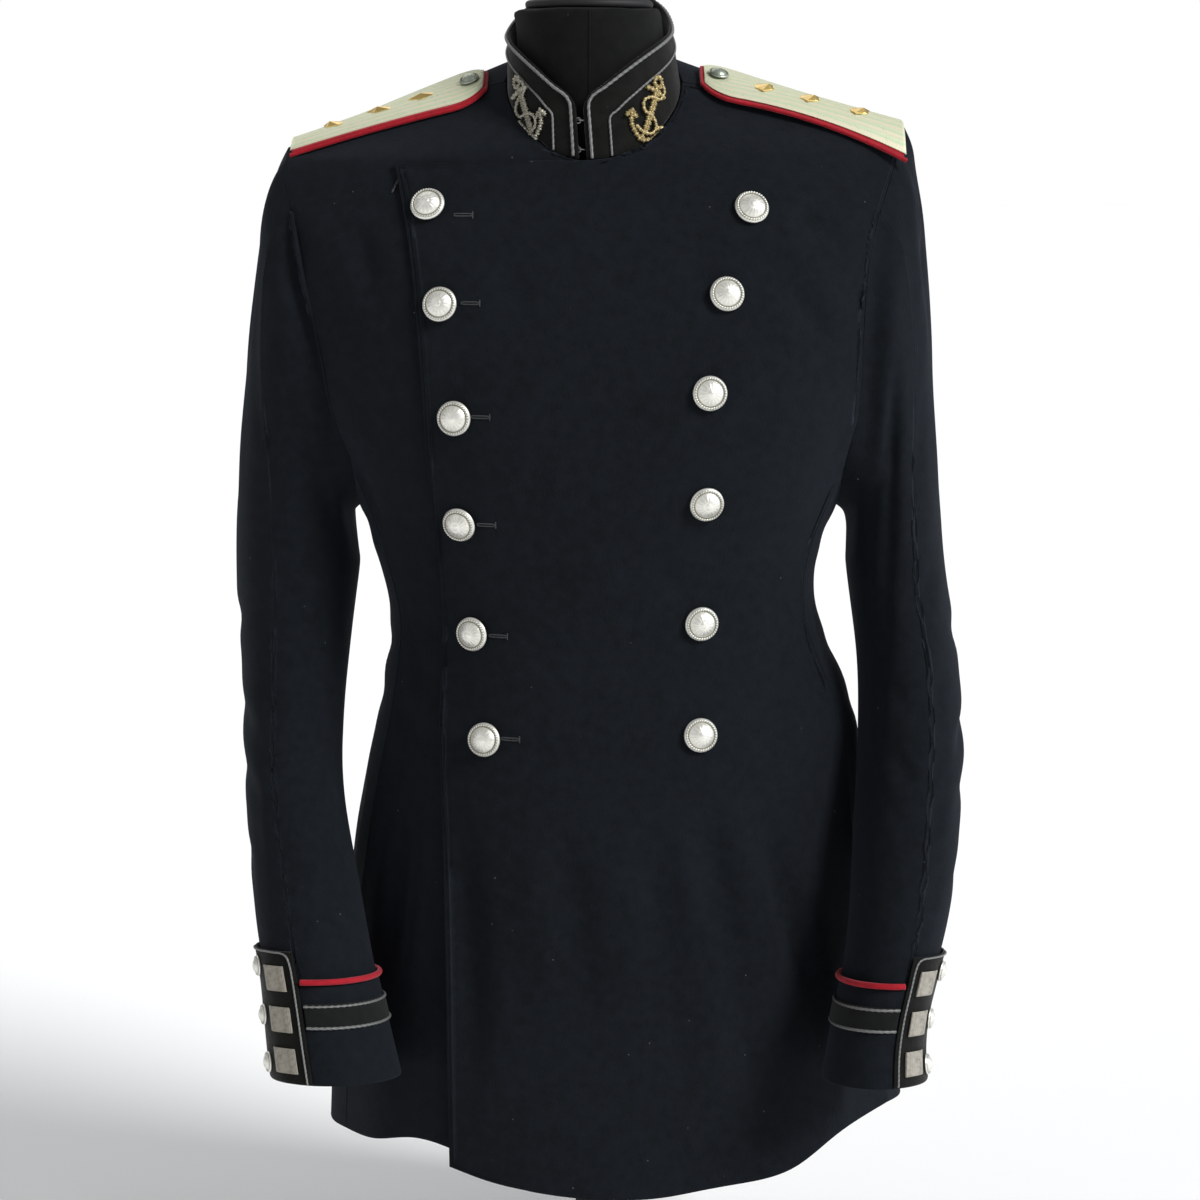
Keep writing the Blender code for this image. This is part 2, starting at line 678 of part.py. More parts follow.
def moved(rows, normals, distance):
    """The rows' points moved out by a distance, which may be a function of row and column."""
    result = []
    for i, row in enumerate(rows):
        line = []
        for j, point in enumerate(row):
            step = distance(i, j) if callable(distance) else distance
            line.append(point + normals[place_key(point)] * step)
        result.append(line)
    return result


def drawn_in(rows, edges, gap=SEAM_GAP / 2):
    """The rows with the named edges moved in along the cloth, to leave a seam's gap."""
    rows = [[point.copy() for point in row] for row in rows]
    if "low" in edges:
        for a, b in zip(rows[0], rows[1]):
            a += (b - a).normalized() * gap
    if "high" in edges:
        for a, b in zip(rows[-1], rows[-2]):
            a += (b - a).normalized() * gap
    for row in rows:
        if "first" in edges:
            row[0] += (row[1] - row[0]).normalized() * gap
        if "last" in edges:
            row[-1] += (row[-2] - row[-1]).normalized() * gap
    return rows


def skin_point(rows, normals, i, j, lift):
    """A point on the faces of a grid, between its rows and columns, moved out by a lift."""
    low, left = min(int(i), len(rows) - 2), int(j)
    right = (left + 1) % len(rows[0])
    place, normal = Vector(), Vector()
    for row, share in ((low, low + 1 - i), (low + 1, i - low)):
        for column, part in ((left, left + 1 - j), (right, j - left)):
            corner = rows[row][column]
            place += corner * (share * part)
            normal += normals[place_key(corner)] * (share * part)
    return place + normal.normalized() * lift


def finish_object(name, mesh, finish, collection):
    """Makes an object of a mesh, in its collection and with its material."""
    mesh.materials.append(finish)
    obj = bpy.data.objects.new(name, mesh)
    collection.objects.link(obj)
    return obj


def face_outwards(bm):
    """Turns every face of a closed mesh outwards."""
    bmesh.ops.recalc_face_normals(bm, faces=bm.faces)
    if bm.calc_volume(signed=True) < 0:
        bmesh.ops.reverse_faces(bm, faces=bm.faces)


def cloth_wall(name, outer, inner, finish, collection, closed=False, keep=None):
    """A closed wall lofted between two grids of like size. keep(i, j) says which cells are cloth."""
    height, width = len(outer), len(outer[0])
    cells = width if closed else width - 1
    mesh = bpy.data.meshes.new(name)
    bm = bmesh.new()
    made = {}

    def vertex(layer, i, j):
        key = (layer, i, j % width)
        if key not in made:
            made[key] = bm.verts.new((outer, inner)[layer][i][j % width])
        return made[key]

    kept = {
        (i, j)
        for i in range(height - 1)
        for j in range(cells)
        if keep is None or keep(i, j)
    }
    for i, j in sorted(kept):
        corners = ((i, j), (i, j + 1), (i + 1, j + 1), (i + 1, j))
        # Both faces start at the same corner, so that they split along the same diagonal
        bm.faces.new([vertex(0, *corner) for corner in corners])
        bm.faces.new([vertex(1, *corners[k]) for k in (0, 3, 2, 1)])
        beside = {
            (i - 1, j): (corners[0], corners[1]),
            (i, (j + 1) % cells if closed else j + 1): (corners[1], corners[2]),
            (i + 1, j): (corners[2], corners[3]),
            (i, (j - 1) % cells if closed else j - 1): (corners[3], corners[0]),
        }
        for neighbour, (a, b) in beside.items():
            if neighbour not in kept:
                bm.faces.new([vertex(0, *b), vertex(0, *a), vertex(1, *a), vertex(1, *b)])
    face_outwards(bm)
    bm.to_mesh(mesh)
    bm.free()
    return finish_object(name, mesh, finish, collection)


def tube(name, points, radius, finish, collection, closed=False):
    """A round cord along a route, as a curve with a bevel and filled caps."""
    curve = bpy.data.curves.new(name, "CURVE")
    curve.dimensions = "3D"
    curve.bevel_depth = radius
    curve.bevel_resolution = 1
    curve.use_fill_caps = not closed
    spline_line = curve.splines.new("POLY")
    spline_line.points.add(len(points) - 1)
    for target, point in zip(spline_line.points, points):
        target.co = (*point, 1.0)
    spline_line.use_cyclic_u = closed
    curve.materials.append(finish)
    obj = bpy.data.objects.new(name, curve)
    collection.objects.link(obj)
    return obj


def turned(name, profile, finish, collection, sides, place):
    """A turned piece: a profile of (radius, height) from foot to tip, screwed round its axis."""
    mesh = bpy.data.meshes.new(name)
    points = [(radius, 0.0, height) for radius, height in reversed(profile)]
    mesh.from_pydata(points, [(i, i + 1) for i in range(len(points) - 1)], [])
    obj = finish_object(name, mesh, finish, collection)
    screw = obj.modifiers.new("Turned", "SCREW")
    screw.steps = screw.render_steps = sides
    screw.use_merge_vertices = True
    screw.merge_threshold = AXIS_MERGE
    obj.matrix_world = place
    return obj


def add_grid(bm, rows):
    """Adds a grid of four-sided faces to a mesh."""
    made = [[bm.verts.new(point) for point in row] for row in rows]
    for low, high in zip(made, made[1:]):
        for j in range(len(low) - 1):
            bm.faces.new((low[j], low[j + 1], high[j + 1], high[j]))


def faces_tree(objects):
    """A tree of the faces of these objects, to find where a trim meets the cloth."""
    points, faces = [], []
    for obj in objects:
        base = len(points)
        points += [vertex.co.copy() for vertex in obj.data.vertices]
        faces += [[base + i for i in face.vertices] for face in obj.data.polygons]
    return BVHTree.FromPolygons(points, faces)


def seat(tree, start, direction, radius):
    """Where a round piece stands on the cloth: its place, turned to the cloth and just clear."""
    centre, normal = tree.ray_cast(start, direction)[:2]
    first = direction.orthogonal().normalized() * radius
    second = direction.cross(first)
    hits = []
    for k in range(SEAT_PROBES):
        turn = 2 * math.pi * k / SEAT_PROBES
        probe = start + first * math.cos(turn) + second * math.sin(turn)
        hit, hit_normal = tree.ray_cast(probe, direction)[:2]
        if hit is not None:
            hits.append(hit)
            normal = normal + hit_normal
    normal = normal.normalized()
    lift = max([0.0] + [(hit - centre).dot(normal) for hit in hits]) + TRIM_GAP
    turn = normal.to_track_quat("Z", "Y").to_matrix().to_4x4()
    return Matrix.Translation(centre + normal * lift) @ turn


# --- Collar, boards and form: points ------------------------------------------------------------


def neck_turns():
    """Turns of the neck seam's corners on one side, from the front's middle to the nape."""
    back = reversed(BACK_NECK_ROWS[:-1])
    return [row.turn for row in FRONT_NECK_ROWS] + [row.turn for row in back]


def neck_chord_point(turn_degrees):
    """A point on the straight lines between the neck seam's corners, all round."""
    turn = (turn_degrees + 180) % 360 - 180
    side = "left" if turn >= 0 else "right"
    turns = neck_turns()
    points = [list(neck_point(corner, side)) for corner in turns]
    return Vector([float(np.interp(abs(turn), turns, axis)) for axis in zip(*points)])


def collar_point(turn_degrees, share):
    """A point of the collar's outer side, at a share of the way up from the neck seam."""
    turn = math.radians(turn_degrees)
    seam = neck_chord_point(turn_degrees)
    base = seam - Vector((seam.x, seam.y, 0)).normalized() * COLLAR_BASE_INSET
    base.z += COLLAR_BASE_LIFT
    centre = (COLLAR_TOP_BACK - COLLAR_TOP_FRONT) / 2
    away = abs((turn_degrees - COLLAR_OPENING + 180) % 360 - 180)
    height = float(table_curve(COLLAR_TOP, "turn", ["height"], away)[0])
    top = Vector((
        COLLAR_LEAN + COLLAR_TOP_HALF_WIDTH * math.sin(turn),
        centre - (COLLAR_TOP_BACK + COLLAR_TOP_FRONT) / 2 * math.cos(turn),
        height,
    ))
    return base.lerp(top, share)


def board_middle(side, reach):
    """A point high above the middle line of a shoulder board."""
    inner, outer = neck_point(90, side), SHOULDER_POINTS[side]
    neck_shift, sleeve_shift = BOARD_SHIFTS[side]
    along = (reach - abs(inner.x)) / (outer.reach - abs(inner.x))
    depth = mix(inner.y + neck_shift, outer.depth + sleeve_shift, along)
    return Vector((SIDES[side] * reach, depth, TOP_PROBE_HEIGHT))


class Board:
    """The smooth surface on which one shoulder board rests."""

    def __init__(self, side, tree):
        self.side = side
        reaches = np.linspace(BOARD_START, BOARD_BENT_TO, BOARD_PROBES)
        self.lines = [
            np.polyfit(reaches, [self.cloth(tree, reach, across) for reach in reaches], 2)
            for across in (-1, 0, 1)
        ]
        self.lift = BOARD_GAPS[side] + max(
            self.cloth(tree, reach, across) - self.height(reach, across)
            for reach in np.linspace(BOARD_START, BOARD_END[side], 2 * BOARD_PROBES)
            for across in np.linspace(-1, 1, BOARD_PROBES)
        )

    def cloth(self, tree, reach, across):
        """Height of the cloth under a place of the board."""
        above = board_middle(self.side, reach)
        above.y += BOARD_HALF_WIDTH * across
        return tree.ray_cast(above, DOWN)[0].z

    def height(self, reach, across):
        """Height of the board's surface: a parabola across it, smooth along it."""
        front, middle, back = (float(np.polyval(line, reach)) for line in self.lines)
        return middle + across * (back - front) / 2 + across**2 * ((back + front) / 2 - middle)

    def grid(self, inset, lift):
        """Points of the board's surface: rows across it, columns from neck to sleeve."""
        start, end = BOARD_START, BOARD_END[self.side]
        rows = []
        for across in BOARD_ROWS:
            row = []
            for step in BOARD_STEPS:
                reach = min(max(mix(start, end, step), start + inset), end - inset)
                width = math.sqrt(1 - (1 - min(step / BOARD_ROUND_END, 1.0)) ** 2)
                half = BOARD_HALF_WIDTH * mix(BOARD_BLUNT, 1.0, width)
                aside = math.copysign(min(abs(across) * half, half - inset), across)
                place = board_middle(self.side, reach)
                place.y += aside
                place.z = self.height(reach, aside / BOARD_HALF_WIDTH) + self.lift + lift
                row.append(place)
            rows.append(row)
        return rows


def neck_form_point(section, turn_degrees, side):
    """A point of the form's neck on one of its sections."""
    turn = math.radians(turn_degrees)
    foot = neck_point(turn_degrees, side).z + NECK_SECTIONS[0].height
    height = mix(foot, section.height, section.level)
    lean = COLLAR_LEAN * smooth((height - NECK_LEAN_FROM) / (NECK_LEAN_TO - NECK_LEAN_FROM))
    centre = (section.back - section.front) / 2
    return Vector((
        lean + SIDES[side] * section.half_width * math.sin(turn),
        centre - (section.back + section.front) / 2 * math.cos(turn),
        height,
    ))


# --- Pieces -------------------------------------------------------------------------------------


class Tunic:
    """Holds the garment's grids, its normals and the collection that the pieces go in."""

    def __init__(self, collection, finishes):
        self.collection = collection
        self.finishes = finishes
        self.front = {side: front_grid(side) for side in SIDES}
        self.back = {side: back_grid(side, self.front[side]) for side in SIDES}
        self.side = {
            side: side_grid(side, self.front[side], self.back[side]) for side in SIDES
        }
        self.hole = {
            side: armhole_ring(self.front[side], self.back[side], self.side[side])
            for side in SIDES
        }
        self.arm = {side: sleeve_grid(side, self.hole[side]) for side in SIDES}
        self.cuff = {side: cuff_grid(side, self.arm[side]) for side in SIDES}
        grids = [(grid[side], True) for grid in (self.arm, self.cuff) for side in SIDES]
        for side in SIDES:
            grids += [(grid[side], False) for grid in (self.front, self.back, self.side)]
        self.normals = outward_normals(grids)

    def wall(self, name, rows, finish, lift=0.0, closed=False, keep=None, edges=(), hem_lift=None):
        """A cloth wall under the grid, raised by lift, with its seam edges drawn in."""
        raised = moved(rows, self.normals, lift)

        def depth(i, j):
            return (lift(i, j) if callable(lift) else lift) - WALL

        lower = moved(rows, self.normals, depth)
        if hem_lift:
            for layer in (raised, lower):
                for point, above in zip(layer[0], layer[1]):
                    step = above - point
                    point += step * (hem_lift(point) / step.length)
        return cloth_wall(
            name, drawn_in(raised, edges), drawn_in(lower, edges),
            self.finishes[finish], self.collection, closed, keep,
        )

    def fronts(self):
        """The right front, which lies under, and the left front, which laps over it."""
        lap = WALL + LAP_GAP
        pit_row = BODY_ROWS + len(FRONT_CENTRE_ROWS) + 1
        right, left = self.front["right"], self.front["left"]
        outer = LAP_COLUMNS + OUTER_COLUMNS
        # The right front runs on under the left one, to the mirrored place of the free edge
        lapped = [left[min(i, pit_row)][1 : LAP_COLUMNS + 1] for i in range(len(right))]
        under = [row[::-1] + beyond for row, beyond in zip(right, lapped)]
        self.wall(
            "front_right", under, "navy_wool",
            keep=lambda i, j: i < pit_row or j < outer, edges=("first", "high"),
            hem_lift=under_front_lift,
        )

        over = [right[min(i, pit_row)][LAP_COLUMNS:0:-1] + left[i] for i in range(len(left))]

        def lift(i, j):
            column = j - 2 * LAP_COLUMNS
            share = 1.0 if column <= 0 else LIFT_FADE[column - 1]
            neck = max(0, i - pit_row)
            return lap * share * NECK_LIFT_FADE[min(neck, len(NECK_LIFT_FADE) - 1)]

        self.wall(
            "front_left", over, "navy_wool", lift=lift,
            keep=lambda i, j: i < pit_row or j >= LAP_COLUMNS, edges=("last", "high"),
        )

    def backs_and_sides(self):
        """Two backs and two side bodies."""
        for side in SIDES:
            edges = ("first", "last", "high")
            self.wall(f"back_{side}", self.back[side], "navy_wool", edges=edges)
            self.wall(f"side_{side}", self.side[side], "navy_wool", edges=edges)

    def sleeves(self):
        """Two sleeves, each of a top and an under sleeve."""
        for side in SIDES:
            rings = self.arm[side]
            count = len(rings[0])
            spans = {
                f"sleeve_{side}_under": range(FRONT_ARM_SEAM, BACK_ARM_SEAM + 1),
                f"sleeve_{side}_top": range(BACK_ARM_SEAM, count + FRONT_ARM_SEAM + 1),
            }
            for name, columns in spans.items():
                rows = [[ring[j % count] for j in columns] for ring in rings]
                edges = ("first", "last", "low", "high")
                self.wall(name, rows, "navy_wool", edges=edges)

    def arm_skin(self, side, heights, turns, lifts):
        """Rows of points on the faces of the lower sleeve and cuff, each row moved out by its lift."""
        grid = self.arm[side][HEAD_ROWS:] + self.cuff[side][1:]
        depths = [-height for height in sleeve_heights() + cuff_heights()[1:]]
        count = len(grid[0])
        rows = []
        for height, lift in zip(heights, lifts):
            i = float(np.interp(-height, depths, range(len(depths))))
            places = [turn * count / 360 % count for turn in turns]
            rows.append([skin_point(grid, self.normals, i, j, lift) for j in places])
        return rows

    def patch(self, name, side, heights, turns, under, wall, finish):
        """A flat trim over part of the arm, of one thickness."""
        outer = self.arm_skin(side, heights, turns, [under + wall] * len(heights))
        inner = self.arm_skin(side, heights, turns, [under] * len(heights))
        return cloth_wall(name, outer, inner, self.finishes[finish], self.collection)

    def cuffs(self):
        """Cuffs, their red piping, corded bands, velvet tabs, lace bars and small buttons."""
        for side in SIDES:
            self.wall(
                f"cuff_{side}", self.cuff[side], "navy_wool", lift=CUFF_PROUD, closed=True,
                edges=("low",),
            )
            count = len(self.cuff[side][0])
            first, last = TAB_COLUMNS[1], count + TAB_COLUMNS[0]
            step = 360 / count
            turns = [column * step for column in range(first, last + 1)]
            turns[0] += TRIM_SHORT_OF_TAB
            turns[-1] -= TRIM_SHORT_OF_TAB
            lift = PIPING_RADIUS + TRIM_GAP
            route = self.arm_skin(side, [CUFF_TOP + PIPING_RISE], turns, [lift])[0]
            finish = self.finishes["red_piping"]
            tube(f"cuff_piping_{side}", route, PIPING_RADIUS, finish, self.collection)
            self.band(side, turns)
            self.tab(side, [column * step for column in range(TAB_COLUMNS[0], TAB_COLUMNS[1] + 1)])

    def band(self, side, turns):
        """A band round the cuff, with a cord along each edge."""
        half = BAND_RIB_WIDTH / 2
        heights = (
            BAND_TOP, BAND_TOP - half, BAND_TOP - 2 * half,
            BAND_END + 2 * half, BAND_END + half, BAND_END,
        )
        rises = (BAND_FOOT, BAND_RIB, BAND_FLOOR, BAND_FLOOR, BAND_RIB, BAND_FOOT)
        floor = CUFF_PROUD + TRIM_GAP
        outer = self.arm_skin(side, heights, turns, [floor + rise for rise in rises])
        inner = self.arm_skin(side, heights, turns, [floor] * len(heights))
        cloth_wall(f"cuff_band_{side}", outer, inner, self.finishes["silver_cord"], self.collection)

    def tab(self, side, turns):
        """The velvet tab up the outer side of the cuff, with what is sewn on it."""
        under = CUFF_PROUD + TRIM_GAP
        heights = [TAB_TOP] + cuff_heights()
        tab = self.patch(f"cuff_tab_{side}", side, heights, turns, under, TAB_WALL, "black_velvet")
        over = under + TAB_WALL + TRIM_GAP
        for number, height in enumerate(BAR_PLACES, 1):
            ends = (height + BAR_HEIGHT / 2, height - BAR_HEIGHT / 2)
            name = f"cuff_bar_{side}_{number}"
            self.patch(name, side, ends, BAR_TURNS, over, BAR_WALL, "silver_cord")
        tree = faces_tree([tab])
        for number, height in enumerate(CUFF_BUTTON_PLACES, 1):
            lifts = (0.0, CUFF_PROBE_LIFT)
            on, off = self.arm_skin(side, [height] * 2, [CUFF_BUTTON_TURN], lifts)
            place = seat(tree, off[0], (on[0] - off[0]).normalized(), SMALL_BUTTON_RADIUS / 2)
            self.button(f"cuff_button_{side}_{number}", SMALL_BUTTON_RADIUS, place)

    def button(self, name, radius, place):
        """A domed metal button on its shank, standing on its place."""
        profile = [(across * radius, up * radius) for across, up in BUTTON_PROFILE]
        profile = [(0.0, 0.0)] + profile + [(0.0, BUTTON_CROWN * radius)]
        sides = BUTTON_SIDES if radius == BUTTON_RADIUS else SMALL_BUTTON_SIDES
        turned(name, profile, self.finishes["silver_button"], self.collection, sides, place)

    def front_buttons(self):
        """Two columns of six buttons on the left front."""
        tree = faces_tree([bpy.data.objects["front_left"]])
        for button in FRONT_BUTTONS:
            start = Vector((button.reach, FRONT_PROBE_PLACE, button.height))
            place = seat(tree, start, BACKWARDS, BUTTON_RADIUS * BUTTON_PROFILE[1][0])
            self.button(f"button_{button.name}", BUTTON_RADIUS, place)

    def collar(self):
        """The stand collar and the two silver cords that follow its edge."""
        rows = []
        for i in range(COLLAR_ROWS + 1):
            share = i / COLLAR_ROWS
            row = []
            for j in range(COLLAR_COLUMNS + 1):
                span = 360 - 2 * COLLAR_HALF_GAP
                turn = COLLAR_OPENING + COLLAR_HALF_GAP + span * j / COLLAR_COLUMNS
                row.append(collar_point(turn, share))
            rows.append(row)
        normals = outward_normals([(rows, False)])
        cloth_wall(
            "collar", rows, moved(rows, normals, -COLLAR_WALL),
            self.finishes["black_velvet"], self.collection,
        )
        for cord in COLLAR_CORDS:
            lift = cord.radius + TRIM_GAP
            first, last = cord.columns, COLLAR_COLUMNS - cord.columns
            columns = [first, *range(math.ceil(first), math.floor(last) + 1), last]
            places = [(COLLAR_CORD_FOOT, first), (COLLAR_CORD_MIDDLE, first)]
            for j in columns:
                away = smooth(min(j, COLLAR_COLUMNS - j) / CORD_SIDE_COLUMN)
                places.append(((1 - mix(cord.front, cord.side, away)) * COLLAR_ROWS, j))
            places += [(COLLAR_CORD_MIDDLE, last), (COLLAR_CORD_FOOT, last)]
            points = [skin_point(rows, normals, i, j, lift) for i, j in places]
            tube(cord.name, points, cord.radius, self.finishes["silver_cord"], self.collection)

    def boards(self):
        """Shoulder boards: a red cloth base, a lace top, three stars and a small button."""
        panels = [f"{part}_{side}" for part in ("front", "back") for side in SIDES]
        panels += [f"sleeve_{side}_top" for side in SIDES]
        tree = faces_tree([bpy.data.objects[name] for name in panels])
        for side in SIDES:
            board = Board(side, tree)
            over = BOARD_BASE_WALL + TRIM_GAP
            self.plate(f"board_base_{side}", board, 0.0, 0.0, BOARD_BASE_WALL, "red_piping")
            lace = self.plate(
                f"board_lace_{side}", board, BOARD_LACE_INSET, over, BOARD_LACE_WALL, "silver_lace"
            )
            lace_tree = faces_tree([lace])
            start, end = BOARD_END[side], BOARD_START
            for number, share in enumerate(STAR_PLACES, 1):
                above = board_middle(side, mix(start, end, share))
                self.star(f"board_star_{side}_{number}", seat(lace_tree, above, DOWN, STAR_RADIUS))
            above = board_middle(side, mix(start, end, BOARD_BUTTON_PLACE))
            place = seat(lace_tree, above, DOWN, SMALL_BUTTON_RADIUS / 2)
            self.button(f"board_button_{side}", SMALL_BUTTON_RADIUS, place)

    def plate(self, name, board, inset, lift, wall, finish):
        """A stiff plate on a board's surface."""
        outer, inner = board.grid(inset, lift + wall), board.grid(inset, lift)
        return cloth_wall(name, outer, inner, self.finishes[finish], self.collection)

    def star(self, name, place):
        """A small five-pointed star: a low cone whose alternate corners are drawn in."""
        mesh = bpy.data.meshes.new(name)
        bm = bmesh.new()
        bmesh.ops.create_cone(
            bm, cap_ends=True, segments=2 * STAR_POINTS, radius1=STAR_RADIUS,
            radius2=STAR_RADIUS * STAR_TOP, depth=STAR_HEIGHT,
        )
        for vertex in bm.verts:
            corner = round(math.atan2(vertex.co.y, vertex.co.x) * STAR_POINTS / math.pi)
            if corner % 2:
                vertex.co.x *= STAR_WAIST
                vertex.co.y *= STAR_WAIST
            vertex.co.z += STAR_HEIGHT / 2
        face_outwards(bm)
        bm.to_mesh(mesh)
        bm.free()
        star = finish_object(name, mesh, self.finishes["gold_star"], self.collection)
        star.matrix_world = place @ Matrix.Rotation(math.pi / 2, 4, "Z")

    def dress_form(self):
        """The covered form inside the tunic, as one closed body with its neck."""
        mesh = bpy.data.meshes.new("form_body")
        bm = bmesh.new()
        for side in SIDES:
            for rows in (self.front[side], self.side[side], self.back[side]):
                add_grid(bm, self.form_skin(rows)[FORM_BOTTOM_ROW:])
            self.form_arm_end(bm, side)
            self.form_neck(bm, side)
        bmesh.ops.remove_doubles(bm, verts=bm.verts, dist=FORM_MERGE)
        bmesh.ops.holes_fill(bm, edges=[edge for edge in bm.edges if edge.is_boundary], sides=0)
        face_outwards(bm)
        bm.to_mesh(mesh)
        bm.free()
        finish_object("form_body", mesh, self.finishes["form_cover"], self.collection)

    def form_skin(self, rows):
        """The form's surface under a grid of the tunic: close at the shoulders, clear lower down."""
        result = []
        for row in rows:
            line = []
            for point in row:
                rise = smooth((point.z - FORM_CLEAR_BELOW) / (FORM_CLOSE_ABOVE - FORM_CLEAR_BELOW))
                inset = WALL + mix(FORM_INSET_BODY, FORM_INSET_SHOULDER, rise)
                line.append(point - self.normals[place_key(point)] * inset)
            result.append(line)
        return result

    def form_arm_end(self, bm, side):
        """Closes the form where the sleeve hangs empty, with a shallow rounded end."""
        edge = self.form_skin([self.hole[side]])[0]
        centre = sum(edge, Vector()) / len(edge)
        outward = Vector((SIDES[side] * FORM_ARM_BULGE, 0, 0))
        middle = [mix(point, centre, 0.5) + outward * FORM_ARM_MIDDLE for point in edge]
        tip = centre + outward
        for ring, inner in ((edge, middle), (middle, [tip] * len(edge))):
            add_grid(bm, [ring + ring[:1], inner + inner[:1]])

    def form_neck(self, bm, side):
        """One half of the form's neck, from the neck seam up."""
        front_rows = self.front[side][-len(FRONT_NECK_ROWS):]
        back_rows = self.back[side][-len(BACK_NECK_ROWS):-1]
        seam = [row[0] for row in front_rows] + [row[0] for row in reversed(back_rows)]
        rings = self.form_skin([seam])
        for section in NECK_SECTIONS:
            rings.append([neck_form_point(section, turn, side) for turn in neck_turns()])
        add_grid(bm, rings)

    def stand(self):
        """The neck's cap with its knob, and the pole on its round base."""
        black = self.finishes["stand_black"]
        profile = [(0.0, CAP_PROFILE[0][1]), *CAP_PROFILE, (0.0, CAP_TIP)]
        place = Matrix.Translation((*CAP_CENTRE, 0))
        turned("form_neck_cap", profile, black, self.collection, CAP_SIDES, place)
        form = bpy.data.objects["form_body"]
        top = min(vertex.co.z for vertex in form.data.vertices) - STAND_GAP
        profile = [(0.0, 0.0), *BASE_PROFILE, (POLE_RADIUS, top), (0.0, top)]
        place = Matrix.Translation((*STAND_CENTRE, 0))
        turned("form_stand", profile, black, self.collection, STAND_SIDES, place)


def main():
    """Builds every piece."""
    for obj in list(bpy.data.objects):
        bpy.data.objects.remove(obj, do_unlink=True)
    collection = bpy.data.collections.new(COLLECTION_NAME)
    bpy.context.scene.collection.children.link(collection)
    finishes = {}
    for name, finish in FINISHES.items():
        material = bpy.data.materials.new(name)
        material.use_nodes = True
        shader = material.node_tree.nodes["Principled BSDF"]
        shader.inputs["Base Color"].default_value = (*finish.colour, 1.0)
        shader.inputs["Roughness"].default_value = finish.roughness
        shader.inputs["Metallic"].default_value = finish.metallic
        finishes[name] = material
    tunic = Tunic(collection, finishes)
    tunic.fronts()
    tunic.backs_and_sides()
    tunic.sleeves()
    tunic.cuffs()
    tunic.collar()
    tunic.front_buttons()
    tunic.boards()
    tunic.dress_form()
    tunic.stand()


main()
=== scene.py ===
"""Military dress tunic on a limbless dress form: cloth, trims, metal and finishes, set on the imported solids.

Metres, +Z up, the tunic faces -Y and the wearer's left is +X. Crease tables are in millimetres.
"""
import json
import logging
import math
from collections import Counter
from dataclasses import dataclass
from enum import Enum
from typing import Callable, Optional, Sequence, Union

import bmesh
import bpy
import numpy as np
from mathutils import Matrix, Vector, noise
from mathutils.bvhtree import BVHTree
from mathutils.kdtree import KDTree

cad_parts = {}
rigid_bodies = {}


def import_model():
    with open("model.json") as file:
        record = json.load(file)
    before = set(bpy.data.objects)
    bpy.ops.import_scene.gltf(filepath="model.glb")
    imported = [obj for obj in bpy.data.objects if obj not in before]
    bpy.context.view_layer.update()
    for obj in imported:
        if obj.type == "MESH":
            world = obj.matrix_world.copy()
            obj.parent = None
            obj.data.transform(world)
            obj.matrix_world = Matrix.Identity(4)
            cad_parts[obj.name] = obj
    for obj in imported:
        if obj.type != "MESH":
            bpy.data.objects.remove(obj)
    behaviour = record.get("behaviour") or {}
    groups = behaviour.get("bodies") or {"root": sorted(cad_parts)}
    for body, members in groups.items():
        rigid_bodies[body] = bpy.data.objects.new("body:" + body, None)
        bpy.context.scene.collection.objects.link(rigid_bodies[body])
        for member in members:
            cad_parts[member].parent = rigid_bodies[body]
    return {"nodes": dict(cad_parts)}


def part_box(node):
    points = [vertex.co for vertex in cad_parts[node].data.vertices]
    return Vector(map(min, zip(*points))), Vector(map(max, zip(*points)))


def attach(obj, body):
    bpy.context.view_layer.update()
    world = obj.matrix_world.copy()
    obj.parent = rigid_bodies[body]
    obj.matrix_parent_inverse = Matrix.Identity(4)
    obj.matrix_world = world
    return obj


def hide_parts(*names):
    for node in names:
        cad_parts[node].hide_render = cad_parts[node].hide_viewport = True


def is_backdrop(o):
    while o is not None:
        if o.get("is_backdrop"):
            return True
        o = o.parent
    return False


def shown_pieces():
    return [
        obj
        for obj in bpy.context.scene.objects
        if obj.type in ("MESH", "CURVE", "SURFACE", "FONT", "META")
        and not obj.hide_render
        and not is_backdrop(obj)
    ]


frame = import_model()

LOG = logging.getLogger("tunic")
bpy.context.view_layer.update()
WELD = 1e-5
MM = 0.001
TURN = 2 * math.pi
SIDES = {"right": -1.0, "left": 1.0}
Array = np.ndarray
Piece = bpy.types.Object
Socket = bpy.types.NodeSocket


# --- Small tools ---


def fade(value: float, low: float, high: float) -> float:
    """A soft step from 0 at low to 1 at high."""
    share = min(max((value - low) / (high - low), 0.0), 1.0)
    return share * share * (3.0 - 2.0 * share)


def through(values: Array, places: Array, closed: bool = False) -> Array:
    """Reads a smooth curve that passes through values.

    Args:
        values: points along the first axis.
        places: fractional indices to read at.
        closed: whether the last point is followed by the first.

    Returns:
        The values at the places.
    """
    values = np.asarray(values, float)
    places = np.asarray(places, float)
    if closed:
        padded = np.concatenate([values[-1:], values, values[:2]])
        index = np.clip(np.floor(places).astype(int), 0, len(values) - 1)
    else:
        first = 2 * values[:1] - values[1:2]
        last = 2 * values[-1:] - values[-2:-1]
        padded = np.concatenate([first, values, last])
        index = np.clip(np.floor(places).astype(int), 0, len(values) - 2)
    t = (places - index).reshape((-1,) + (1,) * (values.ndim - 1))
    a, b, c, d = (padded[index + k] for k in range(4))
    return 0.5 * (
        2 * b + (c - a) * t + (2 * a - 5 * b + 4 * c - d) * t**2 + (3 * b - a - 3 * c + d) * t**3
    )


